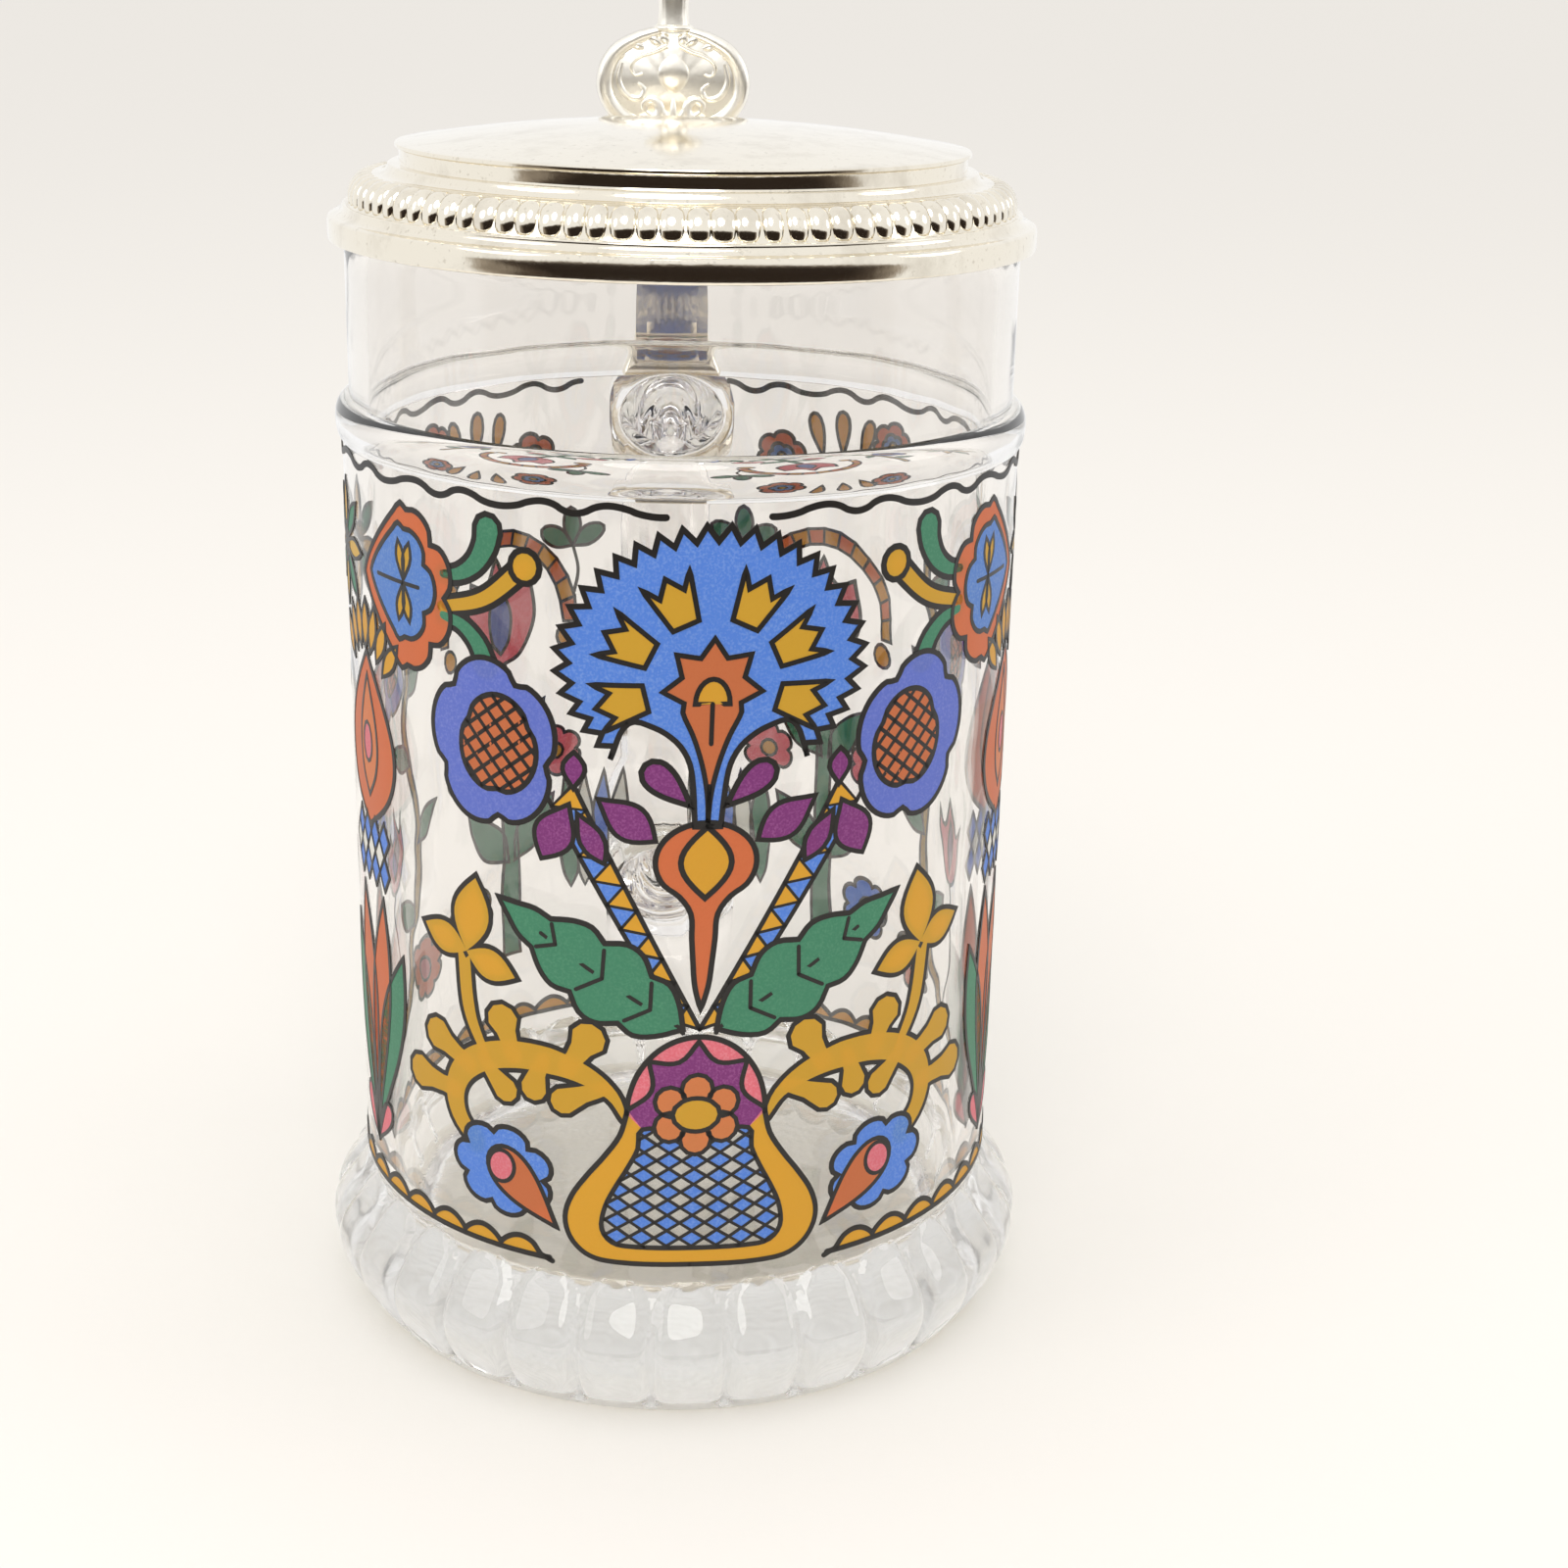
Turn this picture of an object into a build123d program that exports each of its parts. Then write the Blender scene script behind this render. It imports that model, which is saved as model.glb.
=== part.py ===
from build123d import *
import math
import os

# A half-litre pressed-glass beer stein with a hinged metal lid, in millimetres.
# Origin at the middle of the foot's resting face, +Z up, handle towards +Y, lid hinge along X.

# Glass body
glass_height = 143.6            # table to drinking edge
body_radius = 43.0              # outside of the straight wall
body_wall = 3.5                 # thickness of the straight wall
base_thickness = 12.0           # solid glass under the drink
rim_rounding = 1.2              # fire-polished edge
bore_floor_rounding = 7.0       # between the bore and its floor
neck_height = 23.6              # drinking edge down to the middle of the moulded ring
neck_relief = 1.0               # how much slimmer the neck is than the body
bead_proud = 0.8                # how far the ring stands out of the body
bead_half_width = 2.6
foot_flare = 5.0                # how far the heavy foot stands out of the body
foot_widest_height = 9.0
foot_undercut = 4.4             # from the widest part in to the edge of the resting face
foot_top_height = 19.0          # where the foot runs out into the wall

# Glass handle, an ear with an oval section, pressed in one with the body
handle_section_width = 15.6     # along X
handle_section_depth = 11.4     # across the ear
handle_drop = 8.5               # ring to the middle of the upper root
handle_foot_gap = 18.5          # top of the foot to the middle of the lower root
handle_reach = 40.0             # wall to the middle of the section at the top
handle_foot_reach = 30.0        # the same at the bottom, where the ear turns in
handle_top_bend = 24.0
handle_bottom_bend = 19.0

# Metal collar clamped round the upper root of the handle
collar_wall_side = 1.75
collar_wall_bottom = 0.9
collar_wall_top = 1.9
collar_length = 6.5
collar_stand_off = 1.6          # gap between the glass wall and the collar
collar_clearance = 0.05         # all round the glass

# Lid hinge
strap_width = 10.6
strap_thickness = 2.2
strap_stand_off = 1.6           # gap between the strap and the lid or the ring
knuckle_radius = 2.9
knuckle_count = 5               # odd ones belong to the strap, even ones to the lid
knuckle_gap = 0.2
pin_radius = 1.0
pin_clearance = 0.05
pin_head_radius = 1.7
pin_head_height = 0.6
hinge_drop = 1.0                # drinking edge down to the pin
swing_gap = 0.35                # room that a turning piece leaves round a knuckle
lid_open_angle = 100.0          # where the heel comes up against the strap
heel_thickness = 2.0

# Lid, from its skirt inwards and upwards
lid_skirt_clearance = 0.7       # between the skirt and the neck
lid_skirt_wall = 1.2
lid_skirt_drop = 2.0            # how far the skirt reaches below the drinking edge
lid_skirt_height = 2.9
lid_rest_gap = 0.25             # between the ledge and the drinking edge with the lid shut
lid_sheet = 1.3                 # thickness of the cover
lid_flange_width = 2.2
lid_flange_rise = 1.2
lid_ring_land = 0.4             # flat at the foot of the fluted ring
lid_ring_depth = 3.5            # the fluted ring, from its foot in to its top
lid_ring_rise = 4.1
lid_cove_width = 1.8
lid_cove_rise = 0.7
lid_step_width = 1.4
lid_riser_height = 2.0
lid_disc_overhang = 0.5
lid_disc_edge = 0.5
lid_dome = 3.0                  # rise of the top from its edge to its middle

# Hinge block soldered on the back of the lid, and the thumblift on it
block_width = 15.0
block_crown = 1.1               # how far the block's top stands above the fluted ring
thumblift_thickness = 3.2
thumblift_width = 21.0
thumblift_base_width = 16.8
thumblift_shield_height = 14.2
thumblift_neck_width = 4.9
thumblift_neck_height = 6.0
thumblift_bud_width = 8.4
thumblift_bud_height = 10.0
thumblift_bud_sink = 0.8        # how far the neck runs up into the bud

# Places that follow from the sizes
bore_radius = body_radius - body_wall
neck_radius = body_radius - neck_relief
bead_radius = body_radius + bead_proud
bead_height = glass_height - neck_height
foot_radius = body_radius + foot_flare
handle_top_height = bead_height - handle_drop
handle_bottom_height = foot_top_height + handle_foot_gap
skirt_inside = neck_radius + lid_skirt_clearance
lid_radius = skirt_inside + lid_skirt_wall
flange_radius = lid_radius - lid_flange_width
ring_top_radius = flange_radius - lid_ring_depth
step_radius = ring_top_radius - lid_cove_width
riser_radius = step_radius - lid_step_width
disc_radius = riser_radius + lid_disc_overhang
skirt_bottom = glass_height - lid_skirt_drop
skirt_top = skirt_bottom + lid_skirt_height
ledge_height = glass_height + lid_rest_gap
flange_top = skirt_top + lid_flange_rise
ring_top = flange_top + lid_ring_rise
step_height = ring_top + lid_cove_rise
disc_bottom = step_height + lid_riser_height
disc_edge_height = disc_bottom + lid_disc_edge
lid_top = disc_edge_height + lid_dome
strap_front = max(lid_radius, bead_radius) + strap_stand_off
strap_back = strap_front + strap_thickness
hinge_reach = strap_front + knuckle_radius
hinge_height = glass_height - hinge_drop
knuckle_length = (strap_width - (knuckle_count - 1) * knuckle_gap) / knuckle_count
swing_radius = knuckle_radius + swing_gap
block_front = ring_top_radius
block_back = hinge_reach - swing_radius
block_top = ring_top + block_crown
heel_front = hinge_reach + swing_radius
heel_back = heel_front + heel_thickness
collar_front = body_radius + collar_stand_off
collar_top = handle_top_height + handle_section_depth / 2 + collar_wall_top


def knuckle_start(index):
    """Left face of one knuckle along X."""
    return -strap_width / 2 + index * (knuckle_length + knuckle_gap)


def x_rod(radius, start, length):
    """A round bar along X on the hinge axis."""
    plane = Plane((start, hinge_reach, hinge_height), x_dir=(0, 1, 0), z_dir=(1, 0, 0))
    return extrude(plane * Circle(radius), length)


def box_between(low, high):
    """A block from its lowest to its highest corner."""
    size = [b - a for a, b in zip(low, high)]
    return Pos(*low) * Box(*size, align=(Align.MIN, Align.MIN, Align.MIN))


def turned(outline):
    """Turn an outline drawn as radius and height round the stein's own axis."""
    return revolve(make_face(Plane.XZ * outline), Axis.Z)


def dome(radius, edge_height, rise):
    """Section of a shallow dome from its edge to the axis, as part of one sphere."""
    sphere = (radius**2 + rise**2) / (2 * rise)
    slope = math.degrees(math.asin(radius / sphere))
    return CenterArc((0, edge_height + rise - sphere), sphere, 90 - slope, slope)


def body_envelope():
    """The outside of the glass as a solid, from the foot to the rim."""
    points = [
        (0, 0),
        (foot_radius - foot_undercut, 0),
        (foot_radius, foot_widest_height),
        (body_radius, foot_top_height),
        (body_radius, bead_height - bead_half_width),
        (bead_radius, bead_height),
        (neck_radius, bead_height + bead_half_width),
        (neck_radius, glass_height),
        (0, glass_height),
    ]
    foot_side = Spline(points[1], points[2], points[3], tangents=[(0.75, 0.66), (0, 1)])
    bead = ThreePointArc(points[4], points[5], points[6])
    outline = Curve() + [
        Line(points[0], points[1]),
        foot_side,
        Line(points[3], points[4]),
        bead,
        Line(points[6], points[7]),
        Line(points[7], points[8]),
        Line(points[8], points[0]),
    ]
    return turned(outline)


def mug_body():
    """Pressed-glass mug: heavy foot, straight wall, moulded ring and plain neck."""
    bore = Pos(0, 0, base_thickness) * Cylinder(
        bore_radius, glass_height, align=(Align.CENTER, Align.CENTER, Align.MIN)
    )
    floor_edge = bore.edges().filter_by(GeomType.CIRCLE).sort_by(Axis.Z)[0]
    glass = body_envelope() - fillet(floor_edge, bore_floor_rounding)
    rim_edges = glass.edges().filter_by(GeomType.CIRCLE).group_by(Axis.Z)[-1]
    return fillet(rim_edges, min(rim_rounding, 0.45 * (neck_radius - bore_radius)))


def handle_route():
    """Middle line of the ear, from inside the upper wall round to inside the lower wall."""
    start = body_radius - body_wall / 2
    corners = [
        (start, handle_top_height),
        (body_radius + handle_reach, handle_top_height),
        (body_radius + handle_foot_reach, handle_bottom_height),
        (start, handle_bottom_height),
    ]
    return Plane.YZ * FilletPolyline(*corners, radius=[handle_top_bend, handle_bottom_bend])


def mug_handle():
    """Glass ear, ending exactly on the wall that it grows out of."""
    route = handle_route()
    section = Plane((0, *tuple(route @ 0)[1:]), x_dir=(1, 0, 0), z_dir=(0, 1, 0))
    section = section * Ellipse(handle_section_width / 2, handle_section_depth / 2)
    return sweep(section, path=route) - body_envelope()


def handle_collar():
    """Cast collar that grips the upper root, thicker at the top, where the strap leaves it."""
    plane = Plane((0, collar_front, 0), x_dir=(1, 0, 0), z_dir=(0, 1, 0))
    half_width = handle_section_width / 2 + collar_wall_side
    top = handle_section_depth / 2 + collar_wall_top
    bottom = handle_section_depth / 2 + collar_wall_bottom
    # On this plane Y points down, so the top of the collar is on the negative side.
    shift = Pos(0, (bottom - top) / 2 - handle_top_height)
    outer = shift * RectangleRounded(2 * half_width, top + bottom, 0.42 * (top + bottom))
    hole = Pos(0, -handle_top_height) * Ellipse(
        handle_section_width / 2 + collar_clearance,
        handle_section_depth / 2 + collar_clearance,
    )
    ring = extrude(plane * (outer - hole), collar_length)
    return ring - body_envelope()


def hinge_strap():
    """Flat strap that rises from the collar and carries the outer and middle knuckles."""
    plate_top = hinge_height - swing_radius
    half = strap_width / 2
    strap = box_between(
        (-half, strap_front, collar_top), (half, strap_back, plate_top)
    )
    for index in range(0, knuckle_count, 2):
        start = knuckle_start(index)
        strap += box_between(
            (start, strap_front, plate_top),
            (start + knuckle_length, strap_back, hinge_height),
        )
        strap += x_rod(knuckle_radius, start, knuckle_length)
    return strap - x_rod(pin_radius + pin_clearance, -strap_width, 2 * strap_width)


def hinge_pin():
    """Steel pin through all the knuckles, spread to a low head at each end."""
    pin = x_rod(pin_radius, -strap_width / 2, strap_width)
    pin += x_rod(pin_head_radius, strap_width / 2, pin_head_height)
    return pin + x_rod(pin_head_radius, -strap_width / 2 - pin_head_height, pin_head_height)


def lid_envelope():
    """The lid as a solid, without its hollow."""
    skirt = Polyline((0, skirt_bottom), (lid_radius, skirt_bottom), (lid_radius, skirt_top),
                     (flange_radius, flange_top), (flange_radius - lid_ring_land, flange_top))
    fluted_ring = ThreePointArc(
        skirt @ 1,
        (flange_radius - 0.27 * lid_ring_depth, flange_top + 0.65 * lid_ring_rise),
        (ring_top_radius, ring_top),
    )
    steps = Polyline((ring_top_radius, ring_top), (step_radius, step_height),
                     (riser_radius, step_height), (riser_radius, disc_bottom),
                     (disc_radius, disc_bottom), (disc_radius, disc_edge_height))
    axis = Line((0, lid_top), (0, skirt_bottom))
    return turned(Curve() + [skirt, fluted_ring, steps, dome(disc_radius, disc_edge_height, lid_dome), axis])


def lid_cover():
    """Stamped cover: skirt outside the rim, ledge on it, fluted ring, step and domed disc."""
    roof = disc_edge_height - lid_sheet
    roof_radius = riser_radius - 2 * lid_sheet
    walls = Polyline((0, ledge_height), (roof_radius + lid_sheet, ledge_height),
                     (roof_radius + lid_sheet, step_height - lid_sheet), (roof_radius, roof))
    axis = Line((0, roof + lid_dome), (0, ledge_height))
    hollow = turned(Curve() + [walls, dome(roof_radius, roof, lid_dome), axis])
    mouth = Pos(0, 0, skirt_bottom) * Cylinder(
        skirt_inside, ledge_height - skirt_bottom, align=(Align.CENTER, Align.CENTER, Align.MIN)
    )
    return lid_envelope() - mouth - hollow


def hinge_block():
    """Cast block soldered over the lid's back edge, with the two lid knuckles and a heel."""
    half = block_width / 2
    swing_top = hinge_height + swing_radius
    # The heel's lower back edge meets the strap's back face at the widest opening.
    angle = math.radians(lid_open_angle)
    heel_drop = strap_back + swing_gap - hinge_reach
    heel_drop = (heel_drop - (heel_back - hinge_reach) * math.cos(angle)) / math.sin(angle)
    block = box_between((-half, block_front, skirt_bottom), (half, block_back, block_top))
    half = strap_width / 2
    block += box_between((-half, block_back, swing_top), (half, heel_front, block_top))
    block += box_between(
        (-half, heel_front, hinge_height + heel_drop), (half, heel_back, block_top)
    )
    for index in range(1, knuckle_count, 2):
        start = knuckle_start(index)
        end = start + knuckle_length
        block += x_rod(knuckle_radius, start, knuckle_length)
        block += box_between((start, block_back, hinge_height), (end, hinge_reach, swing_top))
    block -= x_rod(pin_radius + pin_clearance, -block_width, 2 * block_width)
    crown = block.edges().filter_by(Axis.X).group_by(Axis.Z)[-1]
    return fillet(crown, block_crown) - lid_envelope()


def thumblift():
    """Cast thumb piece on the block: a scrolled shield, a short neck and a closed bud."""
    front = block_back - thumblift_thickness / 2
    plane = Plane((0, front, block_top), x_dir=(1, 0, 0), z_dir=(0, -1, 0))
    neck_top = thumblift_shield_height + thumblift_neck_height
    half_height = thumblift_shield_height / 2
    shield = Pos(0, half_height) * Ellipse(thumblift_width / 2, half_height)
    foot = Pos(0, half_height / 2) * Rectangle(thumblift_base_width, half_height)
    neck = Pos(0, (half_height + neck_top) / 2) * Rectangle(
        thumblift_neck_width, neck_top - half_height
    )
    plate = extrude(plane * (shield + foot + neck), -thumblift_thickness)
    bud_middle = block_top + neck_top - thumblift_bud_sink + thumblift_bud_height / 2
    bud = scale(Sphere(thumblift_bud_width / 2), (1, 1, thumblift_bud_height / thumblift_bud_width))
    return plate + Pos(0, block_back, bud_middle) * bud


os.makedirs("parts", exist_ok=True)
for piece in (
    mug_body,
    mug_handle,
    handle_collar,
    hinge_strap,
    hinge_pin,
    lid_cover,
    hinge_block,
    thumblift,
):
    export_step(piece(), f"parts/{piece.__name__}.step")
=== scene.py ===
import math

import bmesh
import bpy
from mathutils import Matrix, Vector, geometry, noise


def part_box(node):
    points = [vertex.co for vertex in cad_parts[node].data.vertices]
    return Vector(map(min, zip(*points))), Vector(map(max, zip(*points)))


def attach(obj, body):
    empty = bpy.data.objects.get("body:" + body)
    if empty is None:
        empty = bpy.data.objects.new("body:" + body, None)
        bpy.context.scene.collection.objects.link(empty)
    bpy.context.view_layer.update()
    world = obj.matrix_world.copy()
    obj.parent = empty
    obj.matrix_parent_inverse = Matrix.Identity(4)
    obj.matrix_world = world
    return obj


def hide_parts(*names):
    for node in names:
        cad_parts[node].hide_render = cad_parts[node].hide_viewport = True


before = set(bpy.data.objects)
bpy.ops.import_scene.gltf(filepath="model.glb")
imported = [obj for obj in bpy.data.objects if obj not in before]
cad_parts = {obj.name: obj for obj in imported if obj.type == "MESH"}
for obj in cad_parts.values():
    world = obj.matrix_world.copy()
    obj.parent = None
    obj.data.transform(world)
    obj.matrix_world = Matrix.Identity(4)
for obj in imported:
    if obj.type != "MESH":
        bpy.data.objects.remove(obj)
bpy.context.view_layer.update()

mm = 0.001

# Camera: a little above the lid and close in front, as a collector holds a phone to a shelf piece.
# Its place and turn are in the stein's own frame, with the handle straight behind.
camera_place = Vector((-11.67, -309.94, 177.22)) * mm
turn, pitch, roll = math.radians(4.76), math.radians(19.145), math.radians(1.325)
ahead = Vector((math.sin(turn) * math.cos(pitch), math.cos(turn) * math.cos(pitch), -math.sin(pitch)))
level = Vector((math.cos(turn), -math.sin(turn), 0))
across = level * math.cos(roll) + level.cross(ahead) * math.sin(roll)
camera = bpy.data.objects.new("camera", bpy.data.cameras.new("camera"))
bpy.context.collection.objects.link(camera)
camera.data.lens, camera.data.sensor_width = 55.84, 36.0
camera.data.clip_start, camera.data.clip_end = 0.01, 200.0
camera.matrix_world = (
    Matrix.Translation(camera_place)
    @ Matrix((across, across.cross(ahead), -ahead)).transposed().to_4x4()
)
bpy.context.scene.camera = camera
bpy.context.scene.view_settings.view_transform = "Standard"
# Light turns many times inside a thick glass foot before it comes out, and it must not be lost there.
light_turns = bpy.context.scene.cycles
light_turns.max_bounces = light_turns.glossy_bounces = light_turns.transmission_bounces = 24
light_turns.transparent_max_bounces = 16


# Table and room: a white paper sweep under soft light from all round, brighter from above.
# The far table doesn't show in polished metal, where the dim room in front of it does.
def paint(hex_colour):
    """An sRGB hex colour as linear light, with full alpha."""
    parts = [int(hex_colour[i:i + 2], 16) / 255 for i in (1, 3, 5)]
    return (*(c / 12.92 if c <= 0.04045 else ((c + 0.055) / 1.055) ** 2.4 for c in parts), 1.0)


def add(tree, kind, settings=None, inputs=None):
    """Put one node in a tree: its settings by name, and its inputs as values or outputs to join."""
    made = tree.nodes.new(kind)
    for name, value in (settings or {}).items():
        setattr(made, name, value)
    for name, value in (inputs or {}).items():
        if isinstance(value, bpy.types.NodeSocket):
            tree.links.new(value, made.inputs[name])
        else:
            made.inputs[name].default_value = value
    return made


def blank_material(name):
    """A material with an empty tree."""
    material = bpy.data.materials.new(name)
    material.use_nodes = True
    material.node_tree.nodes.clear()
    return material, material.node_tree


# White paper: matt, a touch warm, with a fine tooth.
paper, tree = blank_material("white_paper")
place = add(tree, "ShaderNodeTexCoord").outputs["Object"]
tooth = add(tree, "ShaderNodeTexNoise", inputs={"Vector": place, "Scale": 900.0, "Detail": 2.0})
bump = add(tree, "ShaderNodeBump", inputs={"Height": tooth.outputs[0], "Strength": 0.08, "Distance": 0.0003})
shader = add(tree, "ShaderNodeBsdfPrincipled", inputs={
    "Base Color": paint("#EDE9E3"), "Roughness": 0.9, "Specular IOR Level": 0.0, "Normal": bump.outputs[0]})
add(tree, "ShaderNodeOutputMaterial", inputs={"Surface": shader.outputs[0]})


def round_turns(count):
    """Even angles once round."""
    return [2 * math.pi * i / count for i in range(count)]


near_table, far_table, table_sides = 0.30, 40.0, 96
for name, inner, outer in (("table_near", 0.0, near_table), ("table_far", near_table, far_table)):
    sheet = bmesh.new()
    rim = [[sheet.verts.new((r * math.cos(a), r * math.sin(a), 0)) for a in round_turns(table_sides)]
           for r in (inner, outer) if r]
    if inner:
        for i in range(table_sides):
            j = (i + 1) % table_sides
            sheet.faces.new((rim[0][i], rim[1][i], rim[1][j], rim[0][j]))
    else:
        sheet.faces.new(rim[0])
    table = bpy.data.objects.new(name, bpy.data.meshes.new(name))
    sheet.to_mesh(table.data)
    sheet.free()
    table.data.materials.append(paper)
    bpy.context.collection.objects.link(table)
    table.visible_glossy = not inner

room = bpy.data.worlds.new("pale_room")
bpy.context.scene.world = room
room.use_nodes = True
room.node_tree.nodes.clear()
tree = room.node_tree
looking = add(tree, "ShaderNodeTexCoord").outputs["Generated"]
axes = add(tree, "ShaderNodeSeparateXYZ", inputs={0: looking}).outputs
patches = add(tree, "ShaderNodeTexNoise", inputs={"Vector": looking, "Scale": 2.2, "Detail": 2.0})
facing = add(tree, "ShaderNodeMath", {"operation": "MULTIPLY"}, {0: axes["Y"], 1: -1.0})
above = add(tree, "ShaderNodeMath", {"operation": "MULTIPLY_ADD", "use_clamp": True},
            {0: axes["Z"], 1: 3.5, 2: 0.10})
dim = add(tree, "ShaderNodeMath", {"operation": "SUBTRACT"}, {0: facing.outputs[0], 1: above.outputs[0]})
uneven = add(tree, "ShaderNodeMath", {"operation": "MULTIPLY_ADD"},
             {0: patches.outputs[0], 1: 0.4, 2: dim.outputs[0]})
ramp = add(tree, "ShaderNodeValToRGB", inputs={0: uneven.outputs[0]})
ramp.color_ramp.elements[0].color = paint("#FFFFFF")
ramp.color_ramp.elements[0].position = 0.47
ramp.color_ramp.elements[-1].color = paint("#2E2620")
ramp.color_ramp.elements[-1].position = 0.84
for spot, colour in ((0.56, "#A59A8C"), (0.67, "#4E443B")):
    made = ramp.color_ramp.elements.new(spot)
    made.color = paint(colour)
seen = add(tree, "ShaderNodeLightPath").outputs["Is Camera Ray"]
backdrop = add(tree, "ShaderNodeMix", {"data_type": "RGBA"},
               {0: seen, 6: ramp.outputs[0], 7: paint("#F4F1EC")})
light = add(tree, "ShaderNodeBackground", inputs={0: backdrop.outputs[2], 1: 1.0})
add(tree, "ShaderNodeOutputWorld", inputs={0: light.outputs[0]})

for name, spot, size, power in (
    ("ceiling_panel", (-0.10, -0.70, 0.85), 0.60, 3.6),
    ("window_left", (-0.90, -0.45, 0.65), 0.60, 1.2),
    ("window_right", (0.95, -0.10, 0.50), 0.45, 0.8),
):
    lamp = bpy.data.objects.new(name, bpy.data.lights.new(name, "AREA"))
    lamp.data.shape, lamp.data.size, lamp.data.energy = "DISK", size, power
    lamp.data.color = (1.0, 0.985, 0.96)
    lamp.location = spot
    lamp.rotation_mode = "QUATERNION"
    lamp.rotation_quaternion = (Vector(spot) - Vector((0, 0, 0.08))).to_track_quat("Z", "Y")
    bpy.context.collection.objects.link(lamp)


# Glass mug: clear soda-lime glass pressed in an iron mould, with the ear in one piece with the wall.
# Thirty arched panels stand round the foot, which rests on a narrow ring, and a moulded ring marks the
# neck. The mould's seam is a fine line up the wall, and the drinking edge is melted smooth.
wall_radius, bore_radius, neck_radius, glass_height = 43.0, 39.5, 42.0, 143.6
ring_height, ring_half, ring_radius = 120.0, 2.6, 43.8
floor_height, floor_rounding, edge_rounding = 12.0, 7.0, 1.2
foot_top, foot_widest, foot_radius, rest_radius = 19.0, 9.0, 48.0, 43.6
panel_count, panel_top, steps_per_panel = 30, 17.6, 16
seam_low, seam_high, seam_lift = 22.0, 118.0, 0.04


def smooth_step(value):
    """0 below 0, 1 above 1, and an even slope between."""
    value = min(1.0, max(0.0, value))
    return value * value * (3 - 2 * value)


def foot_envelope(z):
    """Radius of the foot before its panels are cut."""
    if z < foot_widest:
        return rest_radius + (foot_radius - rest_radius) * math.sin(math.pi / 2 * z / foot_widest)
    swing = (1 + math.cos(math.pi * (z - foot_widest) / (foot_top - foot_widest))) / 2
    return wall_radius + (foot_radius - wall_radius) * swing


def foot_radius_at(z, angle):
    """Radius of the foot at one place: a crowned panel with a round top, set off by a groove."""
    pitch_angle = 2 * math.pi / panel_count
    side = (angle / pitch_angle + 0.5) % 1.0 * 2 - 1
    half_width = foot_envelope(foot_widest) * pitch_angle / 2
    arch = panel_top - half_width * (1 - math.sqrt(max(0.0, 1 - side * side)))
    outside = smooth_step((z - arch) / 0.8)
    groove = 1.5 * abs(side) ** 5 * smooth_step((z - 0.2) / 2.0) * smooth_step((foot_top - z) / 3)
    step = 1.0 * smooth_step((foot_top + 0.4 - z) / 3.0)
    return foot_envelope(z) - groove * (1 - outside) - step * outside


def skin(rings, shut=True):
    """Faces over closed rings of points, each ring joined to the next, the two ends shut or open."""
    made = bmesh.new()
    rows = [[made.verts.new(Vector(p) * mm) for p in ring] for ring in rings]
    count = len(rows[0])
    for low, high in zip(rows, rows[1:]):
        for i in range(count):
            made.faces.new((low[i], low[(i + 1) % count], high[(i + 1) % count], high[i]))
    if shut:
        for row, flip in ((rows[0], True), (rows[-1], False)):
            middle = made.verts.new(sum((v.co for v in row), Vector()) / count)
            for i in range(count):
                pair = (row[i], row[(i + 1) % count])
                made.faces.new((middle, *(reversed(pair) if flip else pair)))
    return made


def make_piece(name, made, material, crease=35.0):
    """Turn faces into a piece, smooth across every edge that bends less than the crease angle."""
    bmesh.ops.recalc_face_normals(made, faces=made.faces)
    for face in made.faces:
        face.smooth = True
    for edge in made.edges:
        edge.smooth = edge.is_manifold and edge.calc_face_angle(0.0) < math.radians(crease)
    mesh = bpy.data.meshes.new(name)
    made.to_mesh(mesh)
    made.free()
    mesh.materials.append(material)
    piece = bpy.data.objects.new(name, mesh)
    bpy.context.collection.objects.link(piece)
    return piece


def settle(piece, body):
    """Name the body that a piece rides on."""
    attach(piece, body)


def circle_arc(middle, radius, start, end, count):
    """Points of radius and height along an arc, in degrees from straight out."""
    turns = (math.radians(start + (end - start) * i / count) for i in range(count + 1))
    return [(middle[0] + radius * math.cos(a), middle[1] + radius * math.sin(a)) for a in turns]


outside = [(r, 1.9 - 0.3 * (r / 36) ** 2) for r in (5, 14, 24, 32, 36)]
outside += [(37.6, 1.35), (38.8, 0.75), (39.8, 0.25), (40.8, 0.03), (41.6, 0.0), (42.5, 0.03), (43.2, 0.12)]
outside += [(None, 0.25 + (foot_top - 0.25) * (i / 42)) for i in range(43)]
outside += [(wall_radius, z) for z in (19.8, 22, 40, 60, 80, 100, 114, 116.8)]
outside += [(wall_radius + (ring_radius - wall_radius) * math.sin(math.pi / 2 * i / 6),
             ring_height - ring_half * math.cos(math.pi / 2 * i / 6)) for i in range(7)]
outside += [(neck_radius + (ring_radius - neck_radius) * math.cos(math.pi / 2 * i / 6),
             ring_height + ring_half * math.sin(math.pi / 2 * i / 6)) for i in range(1, 7)]
outside += [(neck_radius, z) for z in (123.4, 128, 136, 140)]
edge_height = glass_height - edge_rounding
outside += circle_arc((neck_radius - edge_rounding, edge_height), edge_rounding, 0, 90, 5)
inside = circle_arc((bore_radius + edge_rounding, edge_height), edge_rounding, 90, 180, 5)
inside += [(bore_radius, z) for z in (138, 125, 110, 90, 70, 50, 30, 21)]
inside += circle_arc((bore_radius - floor_rounding, floor_height + floor_rounding), floor_rounding,
                     0, -90, 10)
inside += [(r, floor_height + 0.5 * (1 - (r / 32.5) ** 2)) for r in (26, 19, 12, 5)]

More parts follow.
